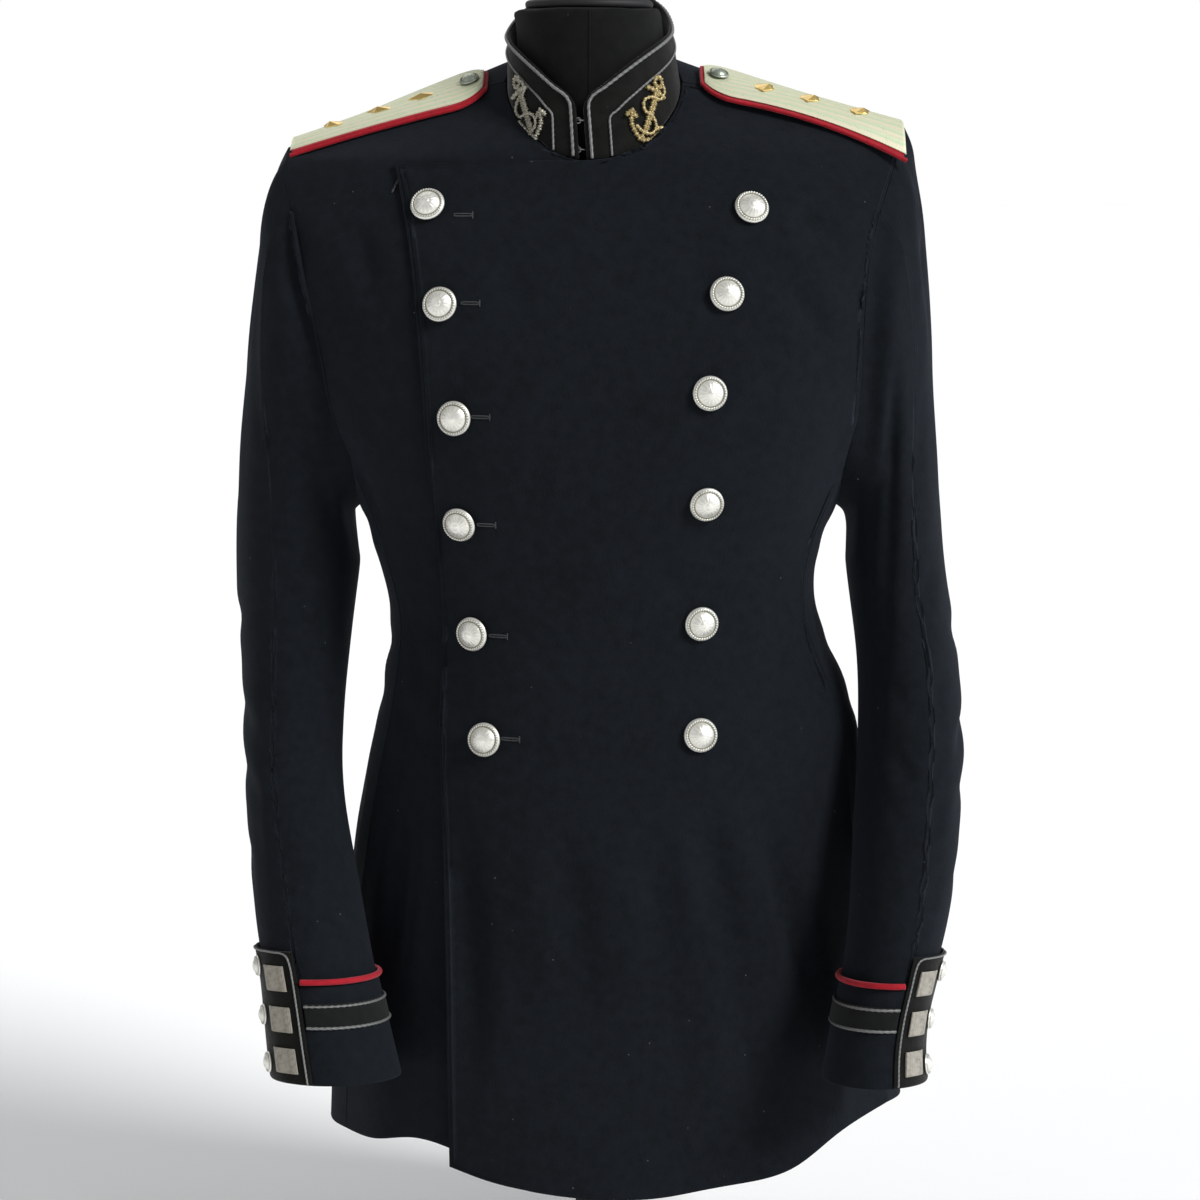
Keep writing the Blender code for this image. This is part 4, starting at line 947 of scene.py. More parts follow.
class Finishes:
    """Every material of the scene, made once."""

    def __init__(self) -> None:
        """Makes the materials."""
        effects = Effects()
        self.wool = ClothFinish(
            "navy_wool_cloth", (0.0028, 0.0037, 0.0052), (0.0086, 0.0110, 0.0148),
            sheen=0.05, sheen_tint=(0.60, 0.74, 1.0, 1.0), sheen_roughness=0.4,
            fibre=1100.0, mottle=130.0, bump=0.00045, lint=0.035, specular=0.12,
        ).make(effects)
        self.velvet = ClothFinish(
            "black_velvet_pile", (0.0040, 0.0040, 0.0038), (0.0150, 0.0148, 0.0135), 1.0,
            sheen=0.30, sheen_roughness=0.32, fibre=1500.0, mottle=90.0, bump=0.0004, lint=0.03,
            specular=0.1,
        ).make(effects)
        self.band = ClothFinish(
            "dark_band_cloth", (0.003, 0.0036, 0.0034), (0.009, 0.0112, 0.0104), 1.0,
            sheen=0.05, fibre=1600.0, mottle=160.0, bump=0.0003,
        ).make(effects)
        self.red = ClothFinish(
            "red_felt", (0.20, 0.002, 0.006), (0.50, 0.008, 0.022), 0.75,
            sheen=0.22, sheen_tint=(1.0, 0.55, 0.62, 1.0), fibre=1800.0, mottle=240.0, bump=0.0003,
        ).make(effects)
        self.jersey = ClothFinish(
            "black_jersey", (0.0026, 0.0028, 0.0027), (0.0085, 0.0090, 0.0088), 0.9,
            sheen=0.04, specular=0.1, fibre=2600.0, mottle=140.0, bump=0.0003, lint=0.03,
        ).make(effects)
        self.cord = ThreadFinish(
            "silver_grey_cord", (0.27, 0.275, 0.27), (0.06, 0.062, 0.058), 0.55, 0.45, 1700.0, 4.0,
        ).make(effects)
        self.bullion = {
            "right": ThreadFinish(
                "grey_bullion_wire", (0.56, 0.54, 0.45), (0.11, 0.10, 0.07), 0.80, 0.38, 1500.0, 3.0,
            ).make(effects),
            "left": ThreadFinish(
                "gilt_bullion_wire", (0.62, 0.50, 0.26), (0.11, 0.085, 0.03), 0.80, 0.38, 1500.0, 3.0,
            ).make(effects),
        }
        self.bar_lace = ThreadFinish(
            "grey_bar_lace", (0.38, 0.355, 0.305), (0.17, 0.155, 0.128), 0.35, 0.58, 700.0, 1100.0,
        ).make(effects)
        self.board_lace = ThreadFinish(
            "board_lace_weave", (0.60, 0.70, 0.48), (0.36, 0.42, 0.27), 0.30, 0.50, 620.0, 950.0,
            worn_from=0.56, stripe=0.0062, tint=(0.74, 0.66, 0.50),
        ).make(effects)
        self.silver = MetalFinish(
            "button_silver", (0.84, 0.83, 0.77), (0.20, 0.195, 0.14), 0.34, 95.0, 0.40, 0.62,
        ).make(effects)
        self.old_silver = MetalFinish(
            "board_button_silver", (0.42, 0.45, 0.38), (0.10, 0.13, 0.09), 0.34, 110.0, 0.7, 0.8,
        ).make(effects)
        self.gilt = MetalFinish(
            "star_gilt", (0.78, 0.56, 0.20), (0.30, 0.23, 0.09), 0.30, 120.0, 0.5,
        ).make(effects)
        self.steel = MetalFinish("hook_steel", (0.42, 0.42, 0.42), (0.15, 0.15, 0.15), 0.35).make(effects)
        self.thread = ClothFinish(
            "grey_sewing_thread", (0.018, 0.019, 0.021), (0.060, 0.063, 0.068), 0.8, fibre=3000.0,
            mottle=600.0, bump=0.0001,
        ).make(effects)
        self.paint = PaintFinish(
            "stand_satin_black", (0.004, 0.004, 0.0044), (0.009, 0.009, 0.0088), 0.66, coat=0.0,
        ).make(effects)
        self.floor = PaintFinish(
            "pale_floor", (1.0, 1.0, 0.998), (0.99, 0.99, 0.988), 0.7, 1.5, 0.3, 0.0,
        ).make(effects)


# --- Creases ---


class Part(Enum):
    """What a crease belongs to, so that it doesn't cross from body to sleeve."""

    BODY = "body"
    RIGHT_SLEEVE = "right sleeve"
    LEFT_SLEEVE = "left sleeve"


class View(Enum):
    """The side from which a crease's places are read: the way that a ray travels."""

    FRONT = (0, 1, 0)
    BACK = (0, -1, 0)
    RIGHT = (1, 0, 0)
    LEFT = (-1, 0, 0)


@dataclass(frozen=True)
class Crease:
    """A soft trough in the cloth with raised shoulders, or a ridge where its depth is negative.

    Places are (across, height) in millimetres, across being X from front or back and Y from a side.
    """

    part: Part
    view: View
    places: tuple
    width: float
    depth: float

    STEP = 7.0
    NEIGHBOURS = 3
    STRAY = 0.012
    FADED_ENDS = 0.30
    SHOULDER = 1.3
    FALL = 0.9

    def route(self, tree: BVHTree) -> Array:
        """The crease's line on the cloth, without the rays that slip through a seam's gap.

        Args:
            tree: the cloth's faces.

        Returns:
            One row for each point of the line.
        """
        ray = Vector(self.view.value)
        line = []
        flat = smooth_route([(a, 0, z) for a, z in self.places], self.STEP)
        for across, _, height in flat * MM:
            start = -ray
            start.z = height
            if ray.x:
                start.y = across
            else:
                start.x = across
            hit = tree.ray_cast(start, ray)[0]
            if hit is not None:
                line.append(list(hit))
        line = np.array(line)
        if len(line) < 3:
            return line
        depth = line @ np.array(ray)
        side = self.NEIGHBOURS
        middles = [np.median(depth[max(0, i - side) : i + side + 1]) for i in range(len(depth))]
        return line[np.abs(depth - middles) < self.STRAY]

    def lower(self, points: Array, tree: BVHTree) -> Array:
        """How far each point moves along its normal.

        Args:
            points: the cloth's points.
            tree: the faces that the crease is laid on.

        Returns:
            A distance for each point, downwards where negative.
        """
        move = np.zeros(len(points))
        line = self.route(tree)
        if len(line) < 3:
            return move
        width = self.width * MM
        low, high = line.min(axis=0) - 3 * width, line.max(axis=0) + 3 * width
        near = np.nonzero(((points > low) & (points < high)).all(axis=1))[0]
        if not len(near):
            return move
        spans = np.diff(line, axis=0)
        lengths = np.maximum((spans**2).sum(axis=1), 1e-12)
        away = points[near][:, None, :] - line[None, :-1, :]
        share = np.clip((away * spans).sum(axis=2) / lengths, 0, 1)
        gap = np.linalg.norm(away - share[..., None] * spans, axis=2)
        best = gap.argmin(axis=1)
        rows = np.arange(len(near))
        along = (best + share[rows, best]) / len(spans)
        ends = np.clip(np.minimum(along, 1 - along) / self.FADED_ENDS, 0, 1)
        ends = ends * ends * (3 - 2 * ends)
        uneven = 0.85 + 0.3 * np.sin(7.0 * along + self.places[0][0])
        s = (gap[rows, best] / width) ** 2
        profile = (1 - self.SHOULDER * s) * np.exp(-self.FALL * s)
        move[near] = -self.depth * MM * profile * ends * uneven
        return move


B, R, L = Part.BODY, Part.RIGHT_SLEEVE, Part.LEFT_SLEEVE
F, K, ER, EL = View.FRONT, View.BACK, View.RIGHT, View.LEFT
CREASE_ROWS = (
    # Hollows along the armholes
    (B, F, ((-211, 815), (-201, 766), (-190, 711), (-180, 662), (-166, 600)), 12, 1.6),
    (R, F, ((-214, 815), (-205, 766), (-194, 711), (-184, 662), (-176, 600)), 9, 1.4),
    (L, F, ((206, 818), (196, 766), (192, 711), (190, 662), (186, 600)), 9, 1.4),
    # Chest, wearer's left
    (B, F, ((118, 838), (133, 817), (148, 796), (171, 777), (190, 755)), 9, 2.4),
    (B, F, ((141, 843), (161, 820), (186, 798)), 7, 1.5),
    (B, F, ((104, 780), (132, 751), (157, 724), (177, 707)), 10, 1.7),
    (B, F, ((110, 727), (139, 714), (176, 708)), 6, 1.0),
    (B, F, ((95, 702), (132, 684), (176, 675)), 8, 1.1),
    (B, F, ((166, 742), (180, 734), (196, 736)), 5, 1.0),
    (B, F, ((160, 652), (172, 640), (186, 640)), 6, 1.0),
    (B, F, ((60, 790), (75, 760), (84, 728)), 13, 0.9),
    # Chest, wearer's right
    (B, F, ((-172, 806), (-154, 772), (-148, 738)), 10, 1.5),
    (B, F, ((-188, 748), (-166, 726), (-150, 696)), 9, 1.4),
    (B, F, ((-180, 692), (-160, 672), (-142, 640)), 9, 1.3),
    (B, F, ((-176, 640), (-160, 622), (-150, 590)), 8, 1.0),
    (B, F, ((-70, 780), (-50, 750), (-44, 715)), 13, 0.8),
    # Waist, front
    (B, F, ((-64, 431), (-23, 430), (18, 434), (68, 427)), 7, 2.0),
    (B, F, ((-30, 462), (19, 481), (74, 506)), 8, 2.0),
    (B, F, ((-66, 514), (-23, 505), (31, 510), (66, 517)), 9, 1.2),
    (B, F, ((8, 573), (45, 560), (75, 540)), 10, 1.1),
    (B, F, ((-60, 560), (-30, 548), (0, 552)), 9, 0.8),
    (B, F, ((84, 468), (112, 476), (142, 494)), 9, 1.7),
    (B, F, ((92, 430), (120, 438), (146, 457)), 8, 1.5),
    (B, F, ((96, 540), (120, 530), (144, 536)), 9, 1.2),
    (B, F, ((-80, 466), (-110, 478), (-138, 498)), 9, 1.5),
    (B, F, ((-95, 524), (-120, 512), (-142, 520)), 8, 1.3),
    (B, F, ((-92, 432), (-118, 440), (-146, 458)), 8, 1.2),
    # Skirt, front
    (B, F, ((70, 415), (88, 335), (101, 264), (116, 185)), 16, 2.6),
    (B, F, ((112, 410), (133, 329), (153, 255), (168, 180)), 14, 2.8),
    (B, F, ((-96, 410), (-87, 334), (-84, 264), (-86, 170)), 13, 1.8),
    (B, F, ((-26, 400), (-13, 318), (-3, 235)), 18, 1.4),
    (B, F, ((38, 398), (50, 300), (60, 195)), 18, 1.5),
    (B, F, ((-128, 410), (-138, 320), (-148, 230)), 14, 2.2),
    # Back
    (B, K, ((-126, 806), (-97, 770), (-80, 728)), 12, 1.7),
    (B, K, ((122, 812), (98, 772), (86, 734)), 12, 1.8),
    (B, K, ((-178, 740), (-150, 716), (-130, 676)), 10, 1.4),
    (B, K, ((176, 736), (152, 708), (134, 672)), 10, 1.4),
    (B, K, ((-64, 702), (-4, 690), (66, 704)), 12, 1.0),
    (B, K, ((-108, 522), (-44, 508), (22, 513), (94, 524)), 9, 2.0),
    (B, K, ((-92, 482), (-22, 474), (62, 484), (114, 494)), 8, 1.8),
    (B, K, ((-74, 450), (0, 440), (84, 452)), 8, 1.5),
    (B, K, ((-136, 566), (-92, 542), (-46, 532)), 10, 1.4),
    (B, K, ((134, 572), (94, 546), (44, 536)), 10, 1.4),
    (B, K, ((-60, 415), (-66, 320), (-72, 190)), 16, 2.4),
    (B, K, ((58, 418), (66, 310), (76, 180)), 16, 2.2),
    (B, K, ((-116, 410), (-134, 300), (-147, 190)), 14, 2.4),
    (B, K, ((112, 405), (131, 300), (142, 185)), 15, 2.4),
    (B, K, ((4, 405), (1, 300), (6, 170)), 12, 1.6),
    # Under the arms
    (B, ER, ((-44, 590), (-4, 578), (44, 590)), 8, 1.3),
    (B, ER, ((-46, 506), (0, 492), (48, 502)), 8, 1.6),
    (B, ER, ((-40, 462), (4, 456), (52, 466)), 8, 1.3),
    (B, ER, ((-12, 410), (-6, 300), (2, 190)), 14, 2.2),
    (B, EL, ((-46, 584), (0, 572), (40, 584)), 8, 1.3),
    (B, EL, ((-44, 500), (2, 488), (50, 500)), 8, 1.6),
    (B, EL, ((-40, 456), (0, 448), (44, 460)), 8, 1.3),
    (B, EL, ((10, 408), (14, 300), (8, 190)), 14, 2.2),
    # Right sleeve: a pressed ridge, then wrinkles
    (R, F, ((-233, 440), (-226, 378), (-218, 320)), 8, -0.35),
    (R, F, ((-250, 436), (-222, 418), (-188, 426)), 7, 1.9),
    (R, F, ((-246, 398), (-216, 390), (-184, 404)), 6, 1.6),
    (R, F, ((-244, 474), (-215, 455), (-190, 452)), 8, 1.6),
    (R, F, ((-242, 566), (-215, 540), (-194, 533)), 9, 1.5),
    (R, F, ((-238, 656), (-212, 632), (-194, 641)), 8, 1.2),
    (R, F, ((-232, 345), (-205, 352), (-178, 340)), 6, 1.1),
    (R, ER, ((-74, 440), (-30, 452), (24, 472)), 8, 1.8),
    (R, ER, ((-92, 398), (-45, 412), (4, 422)), 8, 1.7),
    (R, ER, ((-46, 522), (0, 512), (46, 526)), 9, 1.4),
    (R, ER, ((-100, 350), (-62, 358), (-26, 350)), 7, 1.2),
    (R, ER, ((-34, 792), (-26, 745), (-12, 690)), 9, 1.5),
    (R, ER, ((30, 788), (30, 738), (22, 690)), 9, 1.5),
    (R, ER, ((-8, 690), (-2, 640), (-10, 590)), 12, 1.2),
    (R, K, ((-246, 432), (-215, 420), (-188, 434)), 8, 1.5),
    (R, K, ((-246, 524), (-214, 508), (-188, 520)), 8, 1.3),
    (R, K, ((-240, 610), (-212, 594), (-190, 606)), 9, 1.2),
    # Left sleeve: a pressed ridge, then wrinkles
    (L, F, ((239, 525), (235, 466), (231, 415), (222, 310)), 8, -0.35),
    (L, F, ((207, 735), (206, 659), (206, 589), (203, 505), (198, 424)), 7, 1.1),
    (L, F, ((200, 432), (225, 415), (254, 428)), 7, 1.8),
    (L, F, ((196, 396), (222, 384), (248, 400)), 6, 1.5),
    (L, F, ((202, 470), (228, 462), (252, 480)), 8, 1.6),
    (L, F, ((204, 552), (226, 538), (250, 556)), 9, 1.4),
    (L, F, ((196, 346), (220, 338), (242, 348)), 6, 1.1),
    (L, F, ((200, 642), (222, 628), (244, 642)), 8, 1.3),
    (L, F, ((222, 848), (229, 812), (229, 770)), 6, 1.7),
    (L, EL, ((-88, 430), (-44, 444), (8, 462)), 8, 1.8),
    (L, EL, ((-104, 392), (-62, 404), (-16, 412)), 8, 1.6),
    (L, EL, ((-50, 512), (-6, 502), (40, 516)), 9, 1.4),
    (L, EL, ((-118, 344), (-80, 350), (-44, 344)), 7, 1.2),
    (L, EL, ((-32, 800), (-24, 752), (-12, 700)), 9, 1.5),
    (L, EL, ((32, 796), (30, 748), (20, 700)), 9, 1.5),
    (L, EL, ((-10, 700), (-4, 650), (-12, 600)), 12, 1.2),
    (L, K, ((190, 424), (220, 410), (250, 424)), 8, 1.5),
    (L, K, ((190, 516), (220, 502), (248, 516)), 8, 1.3),
    (L, K, ((190, 606), (218, 592), (244, 606)), 9, 1.2),
)
CREASES = tuple(Crease(*row) for row in CREASE_ROWS)


# --- Wool panels ---


@dataclass(frozen=True)
class PanelCut:
    """A panel of the tunic: what it belongs to and the size that it was cut to, in metres."""

    node: str
    part: Part
    width: float
    length: float
    seams: str = "body"


@dataclass(frozen=True)
class EdgeRoll:
    """How a panel's edge turns down: rings drawn in from it, and how deep each ring lies.

    Beyond the X limit the edge is a seam, and turns down as a plain one does.
    """

    steps: tuple
    drops: tuple
    reach: float = 0.00020
    limit: float = 1.0

    def drop(self, level: int, across: float) -> float:
        """How deep a ring's point lies."""
        drops = self.drops if across < self.limit else PLAIN_DROPS
        return drops[level] if level < len(drops) else 0.0


PLAIN_DROPS = (0.00038, 0.00008)
ROLLS = {
    "body": EdgeRoll((0.0008, 0.0010), PLAIN_DROPS),
    "sleeve": EdgeRoll((0.0006, 0.0008), (0.00010, 0.00002)),
    "lapped": EdgeRoll(
        (0.0006, 0.0010, 0.0009, 0.0008, 0.0008), (0.0009, 0.0, -0.0007, -0.0004, 0.0001, 0.0),
        limit=-0.045,
    ),
}
PANELS = (
    PanelCut("front_left", B, 0.42, 0.74, "lapped"), PanelCut("front_right", B, 0.42, 0.74),
    PanelCut("back_left", B, 0.26, 0.80), PanelCut("back_right", B, 0.26, 0.80),
    PanelCut("side_left", B, 0.16, 0.48), PanelCut("side_right", B, 0.16, 0.48),
    PanelCut("sleeve_left_top", L, 0.20, 0.66, "sleeve"),
    PanelCut("sleeve_left_under", L, 0.17, 0.52, "sleeve"),
    PanelCut("sleeve_right_top", R, 0.20, 0.66, "sleeve"),
    PanelCut("sleeve_right_under", R, 0.17, 0.52, "sleeve"),
    PanelCut("cuff_left", L, 0.28, 0.07), PanelCut("cuff_right", R, 0.28, 0.07),
)


@dataclass
class WoolWork:
    """The tunic's wool panels as thin shells with rolled seams and creases."""

    finishes: Finishes
    levels: int = 3
    fairing_rounds: int = 3
    wall: float = 0.0017
    crease_gain: float = 3.1
    smoothing: int = 2
    evening: int = 9
    undulations: tuple = ((0.085, 0.0008), (0.030, 0.00022))
    board_clearance: float = 0.0004
    neck_reach: float = 0.0034
    neck_tuck: float = 0.0009
    yoke: tuple = (0.800, 0.880)
    yoke_rounds: int = 70
    seam_reach: float = 0.0025
    neck_from: float = 0.81
    neck_half: float = 0.08
    neck_contact: float = 0.0006
    shoulder_from: float = 0.80
    board_look: float = 0.03

    def __post_init__(self) -> None:
        """Keeps the finished shells by node, and what the cloth is fitted to."""
        self.shells: dict = {}
        self.trees: dict = {}
        self.normals: dict = {}
        self.collar = tree_of([frame["nodes"]["collar"]])
        self.boards = tree_of([frame["nodes"][f"board_base_{side}"] for side in SIDES])

    def build(self) -> None:
        """Builds every panel."""
        for part in Part:
            names = [cut.node for cut in PANELS if cut.part == part]
            self.trees[part] = tree_of([frame["nodes"][name] for name in names])
        sheets = {cut.node: self.panel(cut) for cut in PANELS}
        for cut in PANELS:
            obj = sheets[cut.node]
            self.seam_normals(obj, [sheets[c.node] for c in PANELS if c.part == cut.part])
        for cut in PANELS:
            obj = sheets[cut.node]
            self.settle(obj, cut)
            self.roll_edges(obj, ROLLS[cut.seams])
            thicken(obj, self.wall)
            self.shells[cut.node] = obj
            hold(obj, self.finishes.wool, [cut.node])

    def panel(self, cut: PanelCut) -> Piece:
        """A fine surface through the points of a node's outer side.

        Args:
            cut: the panel.

        Returns:
            The sheet, without thickness.
        """
        mesh = bpy.data.meshes.new(f"{cut.node}_cloth")
        coarse = outer_side(cut.node)
        coarse.to_mesh(mesh)
        coarse.free()
        obj = linked(mesh)
        fair_surface(obj, self.levels, self.fairing_rounds)
        return obj

    def seam_normals(self, obj: Piece, others: Sequence[Piece]) -> None:
        """Gives the two edges of a seam one outward way, so that a crease moves them alike.

        Args:
            obj: the panel.
            others: every panel of the same part, this one too.
        """
        borders = [(sheet, border(sheet.data)) for sheet in others]
        near = KDTree(sum(len(numbers) for _, numbers in borders))
        ways = []
        for sheet, numbers in borders:
            places, normals = coordinates(sheet.data), point_normals(sheet.data)
            for number in numbers:
                near.insert(places[number], len(ways))
                ways.append(normals[number])
        near.balance()
        points, normals = coordinates(obj.data), point_normals(obj.data).copy()
        for number in border(obj.data):
            found = near.find_range(points[number], self.seam_reach)
            way = sum(ways[index] for _, index, _ in found)
            normals[number] = way / max(np.linalg.norm(way), 1e-9)
        self.normals[obj.name] = normals

    def settle(self, obj: Piece, cut: PanelCut) -> None:
        """Creases the cloth, lets it undulate, and fits it under the collar and the boards.

        Args:
            obj: the panel's sheet.
            cut: the panel.
        """
        points, normals = coordinates(obj.data), self.normals[obj.name]
        move = np.zeros(len(points))
        for crease in CREASES:
            if crease.part == cut.part:
                move += self.crease_gain * crease.lower(points, self.trees[cut.part])
        for size, height in self.undulations:
            wave = [noise.noise(Vector(p) / size) for p in points]
            move += height * np.array(wave)
        for i, point in enumerate(points):
            if point[2] > self.neck_from and abs(point[0]) < self.neck_half:
                gap = self.collar.find_nearest(Vector(point))[3]
                move[i] -= self.neck_tuck * (1 - fade(gap, self.neck_contact, self.neck_reach))
        move = evened(obj.data, move, self.evening)
        points = points + normals * move[:, None]
        for point in points:
            if point[2] < self.shoulder_from:
                continue
            below = Vector((point[0], point[1], point[2] - self.board_look))
            hit = self.boards.ray_cast(below, Vector((0, 0, 1)))[0]
            if hit is not None and abs(hit.z - point[2]) < self.board_look:
                point[2] = min(point[2], hit.z - self.board_clearance)
        move_points(obj.data, points)

    def roll_edges(self, obj: Piece, roll: EdgeRoll) -> None:
        """Turns the cut edges and seams down in a small roll that nearly meets the next panel.

        Args:
            obj: the panel.
            roll: the rings to draw in and their depths.
        """
        mesh = bmesh.new()
        mesh.from_mesh(obj.data)
        free = [vertex for vertex in mesh.verts if not vertex.is_boundary]
        relax(mesh, free, self.smoothing)
        low, high = self.yoke
        if obj.name.startswith("front"):
            relax(mesh, [v for v in free if low < v.co.z < high], self.yoke_rounds)
        levels = {vertex: 0 for vertex in mesh.verts if vertex.is_boundary}
        inner = list(mesh.faces)
        for number, step in enumerate(roll.steps, 1):
            made = bmesh.ops.inset_region(
                mesh, faces=inner, thickness=step, use_boundary=True, use_even_offset=False
            )["faces"]
            for face in made:
                for vertex in face.verts:
                    levels.setdefault(vertex, number)
            ring = set(made)
            inner = [face for face in inner if face.is_valid and face not in ring]
        mesh.normal_update()
        moves = []
        for vertex, level in levels.items():
            step = vertex.normal * -roll.drop(level, vertex.co.x)
            if level == 0:
                ends = [e.other_vert(vertex) for e in vertex.link_edges if not e.is_boundary]
                if ends:
                    step += (vertex.co - ends[0].co).normalized() * roll.reach
            moves.append((vertex, step))
        for vertex, step in moves:
            vertex.co += step
        mesh.to_mesh(obj.data)
        mesh.free()


def fair_surface(obj: Piece, levels: int, rounds: int) -> None:
    """Subdivides a coarse mesh so that the smooth surface still passes through its points.

    Args:
        obj: the object.
        levels: how often its faces are halved.
        rounds: how often the cage is corrected.
    """
    goal = coordinates(obj.data)
    smooth = obj.modifiers.new("smooth", "SUBSURF")
    smooth.boundary_smooth = "PRESERVE_CORNERS"
    smooth.levels = smooth.render_levels = 1
    smooth.use_limit_surface = True
    cage = goal.copy()
    for _ in range(rounds):
        graph = bpy.context.evaluated_depsgraph_get()
        made = obj.evaluated_get(graph)
        limit = coordinates(made.to_mesh())[: len(goal)]
        made.to_mesh_clear()
        cage += goal - limit
        move_points(obj.data, cage)
        obj.update_tag()
    smooth.levels = smooth.render_levels = levels
    apply_modifiers(obj)
    shade_smooth(obj.data)


# --- Cords ---


@dataclass(frozen=True)
class CordMake:
    """How a cord is made: its radius, its strands, how far they rise, their pitch and its beads."""

    radius: float
    strands: int = 3
    rise: float = 0.14
    pitch: float = 0.005
    step: float = 0.0006
    sides: int = 12
    beads: float = 0.0

    EVENING = 3

    def lay(
        self,
        name: str,
        route: Sequence[Sequence[float]],
        tree: Optional[BVHTree] = None,
        sink: float = 0.15,
        closed: bool = False,
    ) -> Piece:
        """Lays the cord along a route, on the cloth where a tree is given.

        Args:
            name: the piece's name.
            route: a few points of its middle line.
            tree: the faces that it lies on.
            sink: how far it sinks in, as a share of its radius.
            closed: whether its ends meet.

        Returns:
            The cord as one closed mesh.
        """
        line = smooth_route(route, self.step, closed)
        if closed:
            line = line[:-1]
        count = len(line)
        normals = np.tile(np.array([0.0, -1.0, 0.0]), (count, 1))
        if tree is not None:
            for i, point in enumerate(line):
                place, normal = tree.find_nearest(Vector(point))[:2]
                line[i] = place + normal * self.radius * (1 - sink)
                normals[i] = normal
            line, normals = self.soften(line, closed), self.soften(normals, closed)
        if closed:
            ahead = np.roll(line, -1, axis=0) - np.roll(line, 1, axis=0)
        else:
            ahead = np.gradient(line, axis=0)
        ahead /= np.linalg.norm(ahead, axis=1)[:, None]
        normals -= ahead * (normals * ahead).sum(axis=1)[:, None]
        size = np.linalg.norm(normals, axis=1)
        normals[size < 1e-6] = (0.0, 0.0, 1.0)
        normals /= np.maximum(np.linalg.norm(normals, axis=1), 1e-9)[:, None]
        across = np.cross(ahead, normals)
        length = self.step * count
        turns = max(1, round(length / self.pitch))
        angle = np.linspace(0, TURN, self.sides, endpoint=False)
        phase = TURN * turns * np.arange(count) / count
        swell = 1 + self.rise * np.cos(self.strands * angle[None, :] - phase[:, None])
        swell = swell * (1 + self.beads * np.cos(self.strands * phase))[:, None]
        radius = self.radius * swell
        points = (
            line[:, None, :]
            + normals[:, None, :] * (radius * np.cos(angle))[..., None]
            + across[:, None, :] * (radius * np.sin(angle))[..., None]
        ).reshape(-1, 3)
        along = np.repeat(np.arange(count) * self.step, self.sides)
        uvs = np.stack([along, np.tile(angle / (TURN), count)], axis=1)
        faces, sides = [], self.sides
        for i in range(count if closed else count - 1):
            k = (i + 1) % count
            for j in range(sides):
                m = (j + 1) % sides
                faces.append((i * sides + j, i * sides + m, k * sides + m, k * sides + j))
        if not closed:
            faces.append(tuple(reversed(range(sides))))
            faces.append(tuple((count - 1) * sides + j for j in range(sides)))
        obj = shape_object(name, points, faces, uvs)
        turn_outwards(obj)
        return obj

    def soften(self, line: Array, closed: bool) -> Array:
        """Evens a line out a little.

        Args:
            line: one row for each point.
            closed: whether its ends meet.

        Returns:
            The evened line.
        """
        for _ in range(self.EVENING):
            if closed:
                line = 0.5 * line + 0.25 * (np.roll(line, 1, axis=0) + np.roll(line, -1, axis=0))
            else:
                line[1:-1] = 0.5 * line[1:-1] + 0.25 * (line[:-2] + line[2:])
        return line


def turn_outwards(obj: Piece) -> None:
    """Turns every face of a closed mesh outwards.

    Args:
        obj: the mesh's object.
    """
    mesh = bmesh.new()
    mesh.from_mesh(obj.data)
    bmesh.ops.recalc_face_normals(mesh, faces=mesh.faces)
    if mesh.calc_volume(signed=True) < 0:
        bmesh.ops.reverse_faces(mesh, faces=mesh.faces)
    mesh.to_mesh(obj.data)
    mesh.free()


def joined(name: str, objects: Sequence[Piece]) -> Piece:
    """Joins objects into the first and names it.

    Args:
        name: the joined piece's name.
        objects: what it is made of.

    Returns:
        The first object, which holds them all.
    """
    choose(objects[0])
    for obj in objects[1:]:
        obj.select_set(True)
    if len(objects) > 1:
        bpy.ops.object.join()
    objects[0].name = name
    objects[0].data.name = name
    return objects[0]


def edge_lines(length: float, spacing: float, margins: Sequence[float]) -> Array:
    """Distances along a side: even ones, with extra ones near both ends.

    Args:
        length: the side's length.
        spacing: about how far apart the even ones are.
        margins: how far the extra ones are from an end, the last one being the first even one.

    Returns:
        The distances, from 0 to the length.
    """
    count = max(2, int(round((length - 2 * margins[-1]) / spacing)))
    middle = np.linspace(margins[-1], length - margins[-1], count + 1)
    near = np.array([0.0, *margins[:-1]])
    return np.concatenate([near, middle, (length - near)[::-1]])


